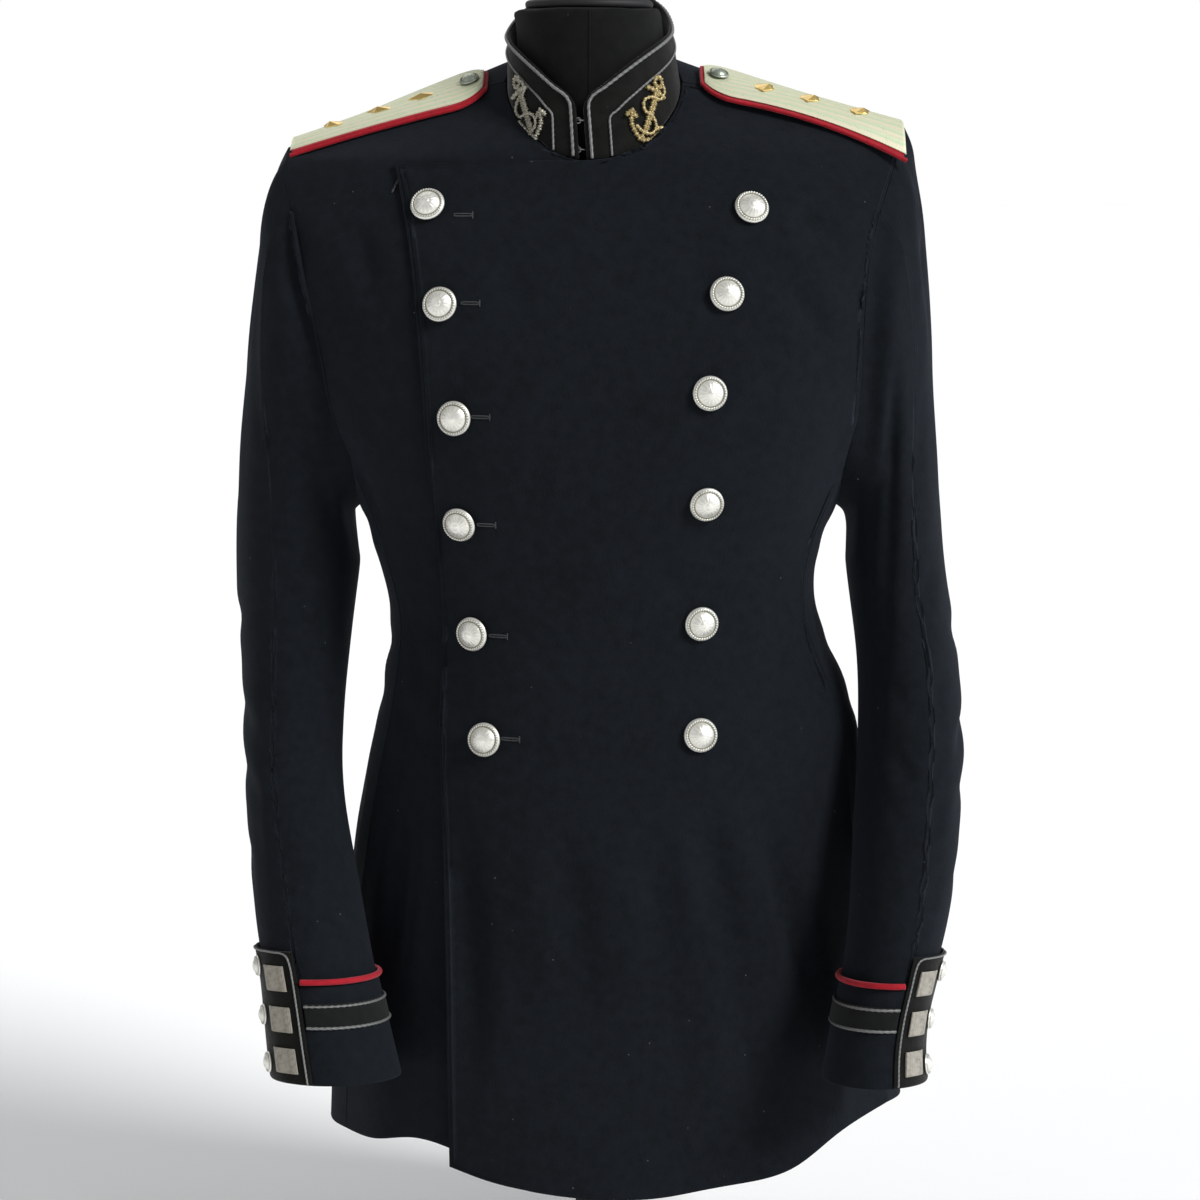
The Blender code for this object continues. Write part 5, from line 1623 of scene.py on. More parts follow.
@dataclass(frozen=True)
class Patch:
    """A cloth patch spread over a lattice: its thickness, fineness and the roll of its edges."""

    thickness: float
    spacing: float = 0.002
    margins: tuple = (0.0003, 0.0008, 0.0016)
    roll: float = 0.0008
    lift: float = 0.0
    corner: float = 0.0

    def spread(self, name: str, lattice: Lattice, relief: Optional[Callable] = None) -> Piece:
        """Makes the patch.

        Args:
            name: the piece's name.
            lattice: where it lies.
            relief: extra height from the distances along and across, as arrays.

        Returns:
            The patch with its thickness.
        """
        net = lattice.points
        last_row, last_column = net.shape[0] - 1, net.shape[1] - 1
        width = np.linalg.norm(np.diff(net, axis=1), axis=2).sum(axis=1).mean()
        height = np.linalg.norm(np.diff(net, axis=0), axis=2).sum(axis=0).mean()
        u = edge_lines(width, self.spacing, self.margins)
        v = edge_lines(height, self.spacing, self.margins)
        along, up = np.meshgrid(u, v)
        edge = np.minimum(np.minimum(along, width - along), np.minimum(up, height - up))
        drop = np.clip(1 - edge / self.margins[-1], 0, 1) ** 2 * self.roll
        if self.corner:
            along, up = self.rounded(along, up, width, height)
        rows, columns = along.shape
        points = np.empty((rows, columns, 3))
        for i in range(rows):
            points[i] = scattered(net, up[i] / height * last_row, along[i] / width * last_column)
        flat = points.reshape(-1, 3)
        faces = [
            (i * columns + j, i * columns + j + 1, (i + 1) * columns + j + 1, (i + 1) * columns + j)
            for i in range(rows - 1) for j in range(columns - 1)
        ]
        uvs = np.stack([along.ravel(), up.ravel()], axis=1)
        obj = shape_object(name, flat, faces, uvs)
        normals = point_normals(obj.data)
        if frame_outward(flat, normals) < 0:
            obj.data.flip_normals()
            normals = point_normals(obj.data)
        lift = self.lift - drop.ravel()
        if relief is not None:
            inner = np.clip(edge.ravel() / self.margins[-1], 0, 1)
            lift = lift + relief(along.ravel(), up.ravel()) * inner
        move_points(obj.data, flat + normals * lift[:, None])
        thicken(obj, self.thickness)
        return obj

    def rounded(self, along: Array, up: Array, width: float, height: float) -> tuple:
        """Rounds the two corners of the far row.

        Args:
            along: distances along the patch, as a net.
            up: distances across it.
            width: the patch's width.
            height: the patch's height.

        Returns:
            The distances with those near the corners drawn in.
        """
        size = self.corner
        near_end = np.minimum(along, width - along)
        below = height - up
        inside = (near_end < size) & (below < size)
        x = np.where(inside, (near_end - size) / size, 0)
        y = np.where(inside, (below - size) / size, 0)
        new_x = size * (1 + x * np.sqrt(1 - y * y / 2))
        new_y = size * (1 + y * np.sqrt(1 - x * x / 2))
        first = along < width / 2
        moved = np.where(first, new_x, width - new_x)
        return np.where(inside, moved, along), np.where(inside, height - new_y, up)


def scattered(net: Array, rows: Array, columns: Array) -> Array:
    """Points of a net at paired fractional rows and columns.

    Args:
        net: rows and columns of points.
        rows: fractional rows.
        columns: one fractional column for each row.

    Returns:
        One point for each pair.
    """
    padded_rows = np.clip(rows, 0, net.shape[0] - 1)
    across = through(net, padded_rows)
    result = np.empty((len(rows), 3))
    for k in range(len(rows)):
        result[k] = through(across[k], np.array([columns[k]]))[0]
    return result


ARM_FROM, ARM_AXIS, ARM_BEHIND = 0.12, 0.185, 0.03


def frame_outward(points: Array, normals: Array) -> float:
    """Tells whether a patch faces away from the body's or the arm's axis.

    Args:
        points: the patch's points.
        normals: one for each point.

    Returns:
        A number above 0 where it does.
    """
    axis = np.array([0.0, 0.0, points[:, 2].mean()])
    if abs(points[:, 0].mean()) > ARM_FROM:
        side = math.copysign(1.0, points[:, 0].mean())
        axis = np.array([side * ARM_AXIS, points[:, 1].mean() + ARM_BEHIND, points[:, 2].mean()])
    return float(((points - axis) * normals).sum())


# --- Collar ---


@dataclass
class CollarWork:
    """Velvet stand collar with two silver cords, hooks and a plain anchor in bullion on each side."""

    finishes: Finishes
    columns: int = 25
    corner: float = 0.009
    edge_cord: CordMake = CordMake(0.00105, 3, 0.16, 0.0046)
    inner_cord: CordMake = CordMake(0.00075, 3, 0.16, 0.0036)
    bullion: CordMake = CordMake(0.00145, 2, 0.20, 0.0036, 0.0003, 10, 0.30)
    fouling: CordMake = CordMake(0.0011, 2, 0.24, 0.0032, 0.0004, 8, 0.20)
    wire: CordMake = CordMake(0.0005, 1, 0.0, 0.01, 0.0006, 8)
    anchor_tilt: float = 26.0
    anchor_height: float = 0.8705
    foot: float = 0.0009
    hook_heights: tuple = (0.8635, 0.8440)

    ANCHOR_ACROSS = {"right": -0.0464, "left": 0.0378}
    STROKES = (
        ((0, 17), (0, 5), (0, -8), (0, -21)),
        ((-9, 13), (0, 14), (9, 13)),
        ((-14, -7), (-11, -15), (-5, -20), (0, -22), (5, -20), (11, -15), (14, -7)),
        ((-17, -12), (-14, -7), (-9, -10)),
        ((17, -12), (14, -7), (9, -10)),
        ((2.1, 15), (2.1, 2), (1.9, -17)),
    )
    ROPE = (
        (1, 22), (7, 17), (5, 10), (-3, 8), (-8, 3), (-5, -3), (3, -4), (8, -9), (6, -15),
        (-1, -17), (-8, -15),
    )
    RING_RADIUS, RING_HEIGHT = 3.6, 20.5

    def build(self) -> None:
        """Builds the collar and what is on it."""
        lattice = Lattice.of_node("collar", self.columns, lambda p: p.z * 10 - p.x)
        lattice.points[0, :, 2] -= self.foot
        cloth = Patch(0.0026, 0.0022, corner=self.corner).spread("collar_velvet", lattice)
        hold(cloth, self.finishes.velvet, ["collar"])
        tree = tree_of([cloth])
        last = self.columns - 1
        for name, cord, inset, front, side, bend in (
            ("collar_edge_cord", self.edge_cord, 0.24, 0.055, 0.055, 1.6),
            ("collar_inner_cord", self.inner_cord, 1.12, 0.44, 0.36, 0.9),
        ):
            top = 2 * (1 - front)
            places = [(row, inset) for row in np.linspace(0.06, top - 0.22 * bend, 5)]
            places.append((top - 0.10 * bend, inset + 0.02 * bend))
            places.append((top - 0.02, inset + 0.14 * bend))
            places.append((top + 0.005, inset + 0.40 * bend))
            for j in np.arange(math.ceil(inset + 0.75), last / 2 + 0.01, 1.0):
                drop = front + (side - front) * fade(j, 0.0, 3.5)
                places.append((2 * (1 - drop), j))
            mirrored = [(row, last - column) for row, column in reversed(places[:-1])]
            route = [lattice.at(row, column) for row, column in places + mirrored]
            obj = cord.lay(f"{name}_twisted", route, tree)
            hold(obj, self.finishes.cord, [name])
        for side in SIDES:
            self.anchor(side, tree)
        self.hooks()

    def anchor(self, side: str, tree: BVHTree) -> None:
        """A plain anchor laid in bullion wire, with its rope.

        Args:
            side: the wearer's side.
            tree: the velvet's faces.
        """
        middle = from_front(tree, self.ANCHOR_ACROSS[side], self.anchor_height)
        normal = tree.find_nearest(middle)[1]
        right = Vector((-normal.y, normal.x, 0)).normalized()
        upward = normal.cross(right).normalized()
        if upward.z < 0:
            upward = -upward
        if right.x < 0:
            right = -right
        turn = math.radians(self.anchor_tilt) * -SIDES[side]

        def placed(places: Sequence[tuple]) -> list:
            """Tilts the upright drawing and sets it on the collar.

            Args:
                places: pairs of the drawing, in millimetres.

            Returns:
                The places on the collar.
            """
            route = []
            for x, y in places:
                a = x * math.cos(turn) - y * math.sin(turn)
                b = x * math.sin(turn) + y * math.cos(turn)
                route.append(middle + right * (a * MM) + upward * (b * MM))
            return route

        pieces = [self.bullion.lay("stroke", placed(line), tree, 0.1) for line in self.STROKES]
        ring = [(x, self.RING_HEIGHT + y) for x, y in round_line(self.RING_RADIUS)]
        pieces.append(self.bullion.lay("stroke", placed(ring), tree, 0.1, closed=True))
        pieces.append(self.fouling.lay("rope", placed(self.ROPE), tree, -1.1))
        obj = joined(f"collar_anchor_{side}", pieces)
        hold(obj, self.finishes.bullion[side])

    def hooks(self) -> None:
        """Two hooks with their eyes across the collar's gap."""
        for number, height in enumerate(self.hook_heights, 1):
            y = -0.0625 - (0.8740 - height) * 0.12
            bar = [
                (-0.0135, y + 0.0012, height), (-0.0105, y - 0.0008, height + 0.0004),
                (-0.0065, y - 0.0010, height), (-0.0030, y + 0.0010, height - 0.0004),
            ]
            eye = [(-0.0105 + x, y, height + z) for x, z in round_line(0.0018)]
            wires = [self.wire.lay("bar", bar), self.wire.lay("eye", eye, closed=True)]
            obj = joined(f"collar_hook_{number}", wires)
            hold(obj, self.finishes.steel)


# --- Cuffs ---


@dataclass
class CuffWork:
    """Piping, corded bands, velvet tabs and lace bars of both cuffs."""

    finishes: Finishes
    wool: WoolWork
    piping: CordMake = CordMake(0.0021, 5, 0.02, 0.03, 0.0012)
    cord: CordMake = CordMake(0.00100, 3, 0.17, 0.0044)
    tab_cord: CordMake = CordMake(0.00065, 3, 0.16, 0.0032)
    first_turn: float = 77.0
    last_turn: float = 343.5
    piping_height: float = 0.2792
    band_heights: tuple = (0.2655, 0.2618, 0.2580, 0.2542, 0.2505)
    band_cord_heights: tuple = (0.2645, 0.2515)
    rib: float = 0.0024
    rib_rise: float = 0.00016

    TAB_EDGE = (
        (3.97, 5.72), (3.0, 5.72), (2.0, 5.72), (1.0, 5.72), (0.35, 5.68), (0.10, 5.40), (0.06, 4.5),
        (0.06, 3.0), (0.06, 1.5), (0.10, 0.60), (0.35, 0.30), (1.0, 0.26), (2.0, 0.26), (3.0, 0.26),
        (3.97, 0.26),
    )

    def build(self) -> dict:
        """Builds both cuffs' trims.

        Returns:
            A tree of the tab's faces for each side, for the buttons to stand on.
        """
        trees = {}
        for side in SIDES:
            ring = CuffRing(side)
            turns = np.arange(self.first_turn, self.last_turn, 7.0)
            cloth = tree_of([self.wool.shells[f"cuff_{side}"]])
            edge = ring.route(self.piping_height, turns, 0.0009)
            red = self.piping.lay(f"cuff_piping_{side}_felt", edge)
            hold(red, self.finishes.red, [f"cuff_piping_{side}"])
            self.band(side, ring, turns, cloth)
            trees[side] = self.tab(side)
        return trees

    def band(self, side: str, ring: CuffRing, turns: Array, cloth: BVHTree) -> None:
        """A dark band with a twisted cord along each edge.

        Args:
            side: the wearer's side.
            ring: the cuff's outer side.
            turns: where the band has its points.
            cloth: the cuff's faces.
        """
        net = Lattice(np.array([ring.route(z, turns, 0.0) for z in self.band_heights]))
        strip = Patch(0.0007, 0.002, lift=0.0015, roll=0.0004).spread(f"cuff_band_{side}_cloth", net)
        hold(strip, self.finishes.band)
        routes = [ring.route(z, turns, 0.002) for z in self.band_cord_heights]
        cords = [self.cord.lay("cord", route, cloth, -0.1) for route in routes]
        obj = joined(f"cuff_band_{side}_cords", cords)
        hold(obj, self.finishes.cord, [f"cuff_band_{side}"])

    def tab(self, side: str) -> BVHTree:
        """The velvet tab with its cord, and three lace bars.

        Args:
            side: the wearer's side.

        Returns:
            A tree of the tab's faces.
        """
        lattice = Lattice.of_node(f"cuff_tab_{side}", 7, self.corner_order)
        cloth = Patch(0.0013, 0.0016, lift=0.0004, roll=0.0006).spread(f"cuff_tab_{side}_velvet", lattice)
        hold(cloth, self.finishes.velvet, [f"cuff_tab_{side}"])
        tree = tree_of([cloth])
        route = [lattice.at(row, column) for row, column in self.TAB_EDGE]
        edging = self.tab_cord.lay(f"cuff_tab_{side}_cord", route, tree)
        hold(edging, self.finishes.cord)
        for number in (1, 2, 3):
            name = f"cuff_bar_{side}_{number}"
            bar = Lattice.of_node(name, 4, self.corner_order)
            lace = Patch(0.0011, 0.0006, (0.0002, 0.0005, 0.0010), 0.0005, 0.0007)
            obj = lace.spread(f"{name}_lace", bar, self.ribs)
            hold(obj, self.finishes.bar_lace, [name])
        return tree

    def corner_order(self, place: Vector) -> float:
        """Least at the corner of a tab or bar that is high and far back."""
        return -place.z - 2 * place.y

    def ribs(self, along: Array, _: Array) -> Array:
        """The ribs of the bar lace."""
        return self.rib_rise * np.cos(along * TURN / self.rib)


# --- Buttons, stars, boards ---


def turned_piece(name: str, profile: Sequence[tuple], sides: int, place: tuple = (0, 0)) -> Piece:
    """A turned piece, drawn up from a disc by extruding its top face again and again.

    Args:
        name: the piece's name.
        profile: (radius, height) from the foot to the crown.
        sides: corners round it.
        place: X and Y of its axis.

    Returns:
        The piece, closed with a point at its crown.
    """
    deselect()
    radius, height = profile[0]
    bpy.ops.mesh.primitive_circle_add(
        vertices=sides, radius=radius, fill_type="NGON", location=(place[0], place[1], height)
    )
    obj = bpy.context.active_object
    obj.name = obj.data.name = name
    bpy.ops.object.transform_apply(location=True, rotation=True, scale=True)
    bpy.ops.object.mode_set(mode="EDIT")
    bpy.ops.mesh.select_all(action="SELECT")
    for wide, high in profile[1:]:
        bpy.ops.mesh.extrude_region_move(TRANSFORM_OT_translate={"value": (0, 0, high - height)})
        share = wide / radius
        bpy.ops.transform.resize(value=(share, share, 1.0), center_override=(place[0], place[1], high))
        radius, height = wide, high
    bpy.ops.mesh.merge(type="CENTER")
    bpy.ops.object.mode_set(mode="OBJECT")
    shade_smooth(obj.data)
    turn_outwards(obj)
    return obj


@dataclass
class ButtonWork:
    """Domed buttons with a rope rim and fine plain rays, set where the CAD buttons stand."""

    finishes: Finishes
    large: float = 0.0118
    small: float = 0.0072
    rays: int = 16
    ray_rise: float = 0.009
    rope_reach: float = 0.865
    rope_radius: float = 0.062
    rope_height: float = 0.405
    rope_strands: int = 36
    rope_swell: float = 0.30
    sink: float = 0.0005
    foot_depth: float = 0.0002
    ray_start: float = 0.012
    ray_limit: float = 0.006

    PROFILE = (
        (0.30, 0.00), (0.30, 0.12), (0.90, 0.14), (0.965, 0.17), (1.0, 0.23), (0.995, 0.28),
        (0.965, 0.33), (0.93, 0.37), (0.90, 0.385), (0.80, 0.395), (0.765, 0.40), (0.745, 0.43),
        (0.72, 0.46), (0.66, 0.52), (0.58, 0.58), (0.50, 0.63), (0.42, 0.67), (0.34, 0.705),
        (0.27, 0.725), (0.20, 0.73), (0.17, 0.75), (0.12, 0.77), (0.05, 0.78),
    )
    FORM_CENTRE = (0, 0.0, 0.35)

    def pattern(self, name: str, radius: float, sides: int) -> Piece:
        """One button, standing on the origin.

        Args:
            name: the pattern's name.
            radius: the button's radius.
            sides: corners round it.

        Returns:
            The dome and its rim.
        """
        return joined(name, [self.dome(name, radius, sides), self.rope(radius, 2 * sides)])

    def dome(self, name: str, radius: float, sides: int) -> Piece:
        """The domed face, with a groove inside its rim and faint rays.

        Args:
            name: the pattern's name.
            radius: the button's radius.
            sides: corners round it.

        Returns:
            The dome, standing on the origin.
        """
        profile = [(wide * radius, high * radius) for wide, high in self.PROFILE]
        dome = turned_piece(name, profile, sides)
        points = coordinates(dome.data)
        across = np.hypot(points[:, 0], points[:, 1]) / radius
        turn = np.arctan2(points[:, 1], points[:, 0])
        shaped = np.clip((across - 0.24) / 0.1, 0, 1) * np.clip((0.72 - across) / 0.08, 0, 1)
        ray = np.cos(self.rays * turn)
        points[:, 2] += self.ray_rise * radius * shaped * ray
        move_points(dome.data, points)
        # Painted shade: the groove inside the rim, the foot below the rim and the gaps between the rays are
        # marked to be darkened.
        groove = np.exp(-(((across - 0.775) / 0.035) ** 2)) + 0.8 * (points[:, 2] < 0.26 * radius)
        self.mark(dome, groove + 0.10 * shaped * (1 - ray))
        return dome

    def rope(self, radius: float, segments: int) -> Piece:
        """The rope round the rim.

        Args:
            radius: the button's radius.
            segments: corners round the rope's length.

        Returns:
            The rope, at its place on the dome.
        """
        deselect()
        reach, height = self.rope_reach * radius, self.rope_height * radius
        bpy.ops.mesh.primitive_torus_add(
            major_segments=segments, minor_segments=8, major_radius=reach,
            minor_radius=self.rope_radius * radius, location=(0, 0, height),
        )
        rope = bpy.context.active_object
        bpy.ops.object.transform_apply(location=True, rotation=True, scale=True)
        points = coordinates(rope.data)
        turn = np.arctan2(points[:, 1], points[:, 0])
        aside = np.hypot(points[:, 0], points[:, 1]) - reach
        rise = points[:, 2] - height
        strand = np.cos(self.rope_strands * turn - np.arctan2(rise, aside))
        grow = 1 + self.rope_swell * strand
        new_reach = reach + aside * grow
        points[:, 0], points[:, 1] = new_reach * np.cos(turn), new_reach * np.sin(turn)
        points[:, 2] = height + rise * grow
        move_points(rope.data, points)
        # Painted shade between the rope's strands.
        self.mark(rope, 0.40 * (1 - strand))
        shade_smooth(rope.data)
        return rope

    def mark(self, obj: Piece, recess_shade: Array) -> None:
        """Keeps how deep each point lies in the pattern, as painted shade that the finish darkens there."""
        layer = obj.data.attributes.new("recess_shade", "FLOAT", "POINT")
        layer.data.foreach_set("value", np.clip(recess_shade, 0, 1).astype(np.float32))

    def seat(self, node: str, tree: BVHTree) -> Matrix:
        """Where a CAD button or star stands: its foot on the cloth, its axis as packed.

        Args:
            node: the CAD node's name.
            tree: what it stands on.

        Returns:
            The turn and move from the origin.
        """
        points = coordinates(frame["nodes"][node].data)
        points = np.unique(np.round(points, 6), axis=0)
        middle = points.mean(axis=0)
        axis = Vector(np.linalg.eigh(np.cov((points - middle).T))[1][:, 0])
        if axis.dot(Vector(middle) - Vector(self.FORM_CENTRE)) < 0:
            axis = -axis
        along = (points - middle) @ np.array(axis)
        foot = Vector(points[along < along.min() + self.foot_depth].mean(axis=0))
        hit = tree.ray_cast(foot + axis * self.ray_start, -axis)[0]
        if hit is not None and (hit - foot).length < self.ray_limit:
            foot = hit - axis * self.sink
        return Matrix.Translation(foot) @ axis.to_track_quat("Z", "Y").to_matrix().to_4x4()

    def place(
        self,
        pattern: Piece,
        node: str,
        material: bpy.types.Material,
        tree: BVHTree,
        turn: float,
        slot: str = "silver_button",
    ) -> None:
        """Puts a copy of the pattern where a node stands.

        Args:
            pattern: the piece to copy.
            node: the CAD node that it stands for.
            material: its finish.
            tree: what it stands on.
            turn: how far it is turned on its axis.
            slot: not used.
        """
        mesh = pattern.data.copy()
        mesh.transform(self.seat(node, tree) @ Matrix.Rotation(turn, 4, "Z"))
        mesh.name = f"{node}_metal"
        hold(linked(mesh), material, [node])

    def build(self, front: BVHTree, tabs: dict, boards: dict) -> None:
        """Places every button.

        Args:
            front: faces of the front that laps over.
            tabs: a tree of each cuff tab.
            boards: a tree of each board's lace.
        """
        large = self.pattern("large_button", self.large, 64)
        small = self.pattern("small_button", self.small, 48)
        metal = self.finishes.silver
        turn = 0.0
        for side in SIDES:
            for number in range(1, 7):
                turn += 0.83
                self.place(large, f"button_{side}_{number}", metal, front, turn)
            for number in range(1, 4):
                turn += 0.71
                self.place(small, f"cuff_button_{side}_{number}", metal, tabs[side], turn)
            self.place(small, f"board_button_{side}", self.finishes.old_silver, boards[side], turn)
        for obj in (large, small):
            bpy.data.objects.remove(obj)


@dataclass
class BoardWork:
    """Shoulder boards: felt base with a rolled edge, woven lace and gilt stars."""

    finishes: Finishes
    start: float = 0.0740
    half_width: float = 0.0275
    blunt: float = 0.18
    round_end: float = 0.18
    lace_inset: float = 0.0030
    end_inset: float = 0.0004
    roll: CordMake = CordMake(0.00150, 5, 0.02, 0.02, 0.001)
    weave: float = 0.0031
    weave_rise: float = 0.00024
    star_radius: float = 0.0102
    star_height: float = 0.0030
    star_waist: float = 0.42
    star_edge: float = 0.0008
    star_bevel: float = 0.00018

    ENDS = {"right": 0.2110, "left": 0.2165}
    LINES = {"right": (0.2146, 0.00025, 0.0030), "left": (0.2175, 0.00225, -0.0060)}
    LINE_START, FIT_CENTRE = 0.0618, 0.14

    def __post_init__(self) -> None:
        """Leaves room for the fitted height's factors."""
        self.curve = np.zeros(9)

    def fit(self, side: str) -> None:
        """Fits the smooth top of the CAD lace, by reach and by place across.

        Args:
            side: the wearer's side.
        """
        tree = tree_of([frame["nodes"][f"board_lace_{side}"]])
        rows, heights = [], []
        for reach in np.linspace(self.start + 0.012, self.ENDS[side] - 0.004, 24):
            for across in np.linspace(-0.8, 0.8, 9):
                y = self.middle(side, reach) + across * self.half_width
                above = Vector((SIDES[side] * reach, y, 2.0))
                hit = tree.ray_cast(above, Vector((0, 0, -1)))[0]
                if hit is not None:
                    rows.append(self.terms(reach, across))
                    heights.append(hit.z)
        self.curve = np.linalg.lstsq(np.array(rows), np.array(heights), rcond=None)[0]

    def terms(self, reach: float, across: float) -> list:
        """The powers that the board's height is a sum of."""
        r = reach - self.FIT_CENTRE
        return [r**i * across**j for i in range(3) for j in range(3)]

    def middle(self, side: str, reach: float) -> float:
        """Y of the board's middle line."""
        outer, neck, sleeve = self.LINES[side]
        share = (reach - self.LINE_START) / (outer - self.LINE_START)
        return neck + share * (sleeve - neck)

    def at(self, side: str, reach: float, aside: float, lift: float) -> list:
        """A point over the lace's top, aside in metres from the middle line."""
        height = float(np.dot(self.terms(reach, aside / self.half_width), self.curve))
        return [SIDES[side] * reach, self.middle(side, reach) + aside, height + lift]

    def half(self, reach: float, side: str) -> float:
        """Half the board's width at a reach: rounded at the neck end, square at the sleeve."""
        share = (reach - self.start) / (self.ENDS[side] - self.start)
        width = math.sqrt(max(0.0, 1 - (1 - min(share / self.round_end, 1.0)) ** 2))
        return self.half_width * (self.blunt + (1 - self.blunt) * width)

    def net(self, side: str, inset: float, end_inset: float, lift: float) -> Lattice:
        """A lattice over the board.

        Args:
            side: the wearer's side.
            inset: how far it is drawn in from the outline.
            end_inset: how far it is drawn in from the sleeve end.
            lift: how far it lies above the lace's top.

        Returns:
            Nine rows that run from the neck to the sleeve.
        """
        start, end = self.start + inset, self.ENDS[side] - end_inset
        points = []
        for across in np.linspace(-1, 1, 9):
            line = []
            for step in np.linspace(0, 1, 24) ** 1.5:
                reach = start + (end - start) * step
                line.append(self.at(side, reach, across * (self.half(reach, side) - inset), lift))
            points.append(line)
        return Lattice(np.array(points))

    def build(self, buttons: ButtonWork) -> dict:
        """Builds both boards.

        Args:
            buttons: what seats the stars.

        Returns:
            A tree of each board's lace, for the stars and button to stand on.
        """
        trees = {}
        star = self.star()
        for side in SIDES:
            self.fit(side)
            felt = Patch(0.0016, 0.0025, roll=0.0004).spread(
                f"board_base_{side}_felt", self.net(side, 0.0010, 0.0020, -0.0014)
            )
            hold(felt, self.finishes.red, [f"board_base_{side}"])
            edge = self.roll.lay(f"board_base_{side}_roll", self.outline(side, 0.0014, -0.0022))
            hold(edge, self.finishes.red)
            lace = Patch(0.0011, 0.00095, (0.0003, 0.0007, 0.0012), 0.0006, 0.0002).spread(
                f"board_lace_{side}_woven",
                self.net(side, self.lace_inset, self.end_inset, 0.0),
                lambda _, up: self.weave_rise * np.cos(up * TURN / self.weave),
            )
            hold(lace, self.finishes.board_lace, [f"board_lace_{side}"])
            trees[side] = tree_of([lace])
            for number in (1, 2, 3):
                turn = math.pi / 2 + 0.2 * number
                node = f"board_star_{side}_{number}"
                buttons.place(star, node, self.finishes.gilt, trees[side], turn, "gold_star")
        bpy.data.objects.remove(star)
        return trees

    def outline(self, side: str, inset: float, lift: float) -> list:
        """Points round the board's edge, from the sleeve end round the neck end and back.

        Args:
            side: the wearer's side.
            inset: how far they are drawn in from the outline.
            lift: how far they lie above the lace's top.

        Returns:
            The points in order.
        """
        end, start = self.ENDS[side] - 0.0002, self.start + inset
        reaches = start + (end - start) * np.linspace(0, 1, 18) ** 1.7
        front = [self.at(side, r, -(self.half(r, side) - inset), lift) for r in reaches]
        back = [self.at(side, r, self.half(r, side) - inset, lift) for r in reaches]
        return front[::-1] + back

    def star(self) -> Piece:
        """A low five-pointed star with a ridge to each point.

        Returns:
            The star, standing on the origin.
        """
        deselect()
        bpy.ops.mesh.primitive_cone_add(
            vertices=10, radius1=self.star_radius, radius2=0.0, depth=self.star_height,
            location=(0, 0, 0.0022),
        )
        obj = bpy.context.active_object
        bpy.ops.object.transform_apply(location=True, rotation=True, scale=True)
        points = coordinates(obj.data)
        turn = np.arctan2(points[:, 1], points[:, 0])
        waist = np.round(turn * 5 / math.pi) % 2 == 1
        points[waist, :2] *= self.star_waist
        move_points(obj.data, points)
        bpy.ops.object.mode_set(mode="EDIT")
        bpy.ops.mesh.select_all(action="DESELECT")
        bpy.ops.object.mode_set(mode="OBJECT")
        for face in obj.data.polygons:
            face.select = len(face.vertices) > 4
        bpy.ops.object.mode_set(mode="EDIT")
        bpy.ops.mesh.extrude_region_move(TRANSFORM_OT_translate={"value": (0, 0, -self.star_edge)})
        bpy.ops.object.mode_set(mode="OBJECT")
        bevel = obj.modifiers.new("soft", "BEVEL")
        bevel.width, bevel.segments, bevel.limit_method = self.star_bevel, 2, "ANGLE"
        apply_modifiers(obj)
        turn_outwards(obj)
        obj.name = obj.data.name = "star_pattern"
        return obj


# --- Buttonholes and small sewing ---


@dataclass
class SewingWork:
    """Worked buttonholes beside the wearer's right column, and a loose thread."""

    finishes: Finishes
    stitch: CordMake = CordMake(0.00045, 2, 0.25, 0.0011, 0.00035, 8)
    thread: CordMake = CordMake(0.00055, 2, 0.2, 0.003, 0.0006, 6)
    half_length: float = 0.0062
    half_gap: float = 0.0008
    tack_gap: float = 0.0003
    half_tack: float = 0.0022

    HOLES = (
        (-0.0940, 0.8010), (-0.0888, 0.7434), (-0.0822, 0.6682), (-0.0790, 0.5940),
        (-0.0716, 0.5165), (-0.0634, 0.4465),
    )
    LOOSE = ((-0.1369, 0.8150), (-0.1350, 0.8185), (-0.1332, 0.8222), (-0.1301, 0.8263))

    def build(self, tree: BVHTree, under: BVHTree) -> None:
        """Sews the holes and leaves the thread.

        Args:
            tree: faces of the front that laps over.
            under: faces of the front below it.
        """
        for number, (across, height) in enumerate(self.HOLES, 1):
            middle = across + self.half_length
            route = []
            for t in np.linspace(0, TURN, 17)[:-1]:
                x = middle + self.half_length * math.copysign(abs(math.cos(t)) ** 0.5, math.cos(t))
                z = height + self.half_gap * math.copysign(abs(math.sin(t)) ** 0.5, math.sin(t))
                route.append(self.on(tree, x, z))
            loop = self.stitch.lay("loop", route, tree, 0.35, True)
            tack_x = middle + self.half_length + self.tack_gap
            rises = (-self.half_tack, 0.0, self.half_tack)
            tack = [self.on(tree, tack_x, height + rise) for rise in rises]
            obj = joined(f"buttonhole_{number}", [loop, self.stitch.lay("tack", tack, tree, 0.2)])
            hold(obj, self.finishes.thread)
        route = [self.on(under, x, z) for x, z in self.LOOSE]
        obj = self.thread.lay("loose_thread", route, under, -0.2)
        hold(obj, self.finishes.thread)

    def on(self, tree: BVHTree, across: float, height: float) -> Vector:
        """The cloth's surface in front of a place."""
        hit = from_front(tree, across, height)
        return hit if hit is not None else Vector((across, -0.1, height))


# --- Dress form and stand ---


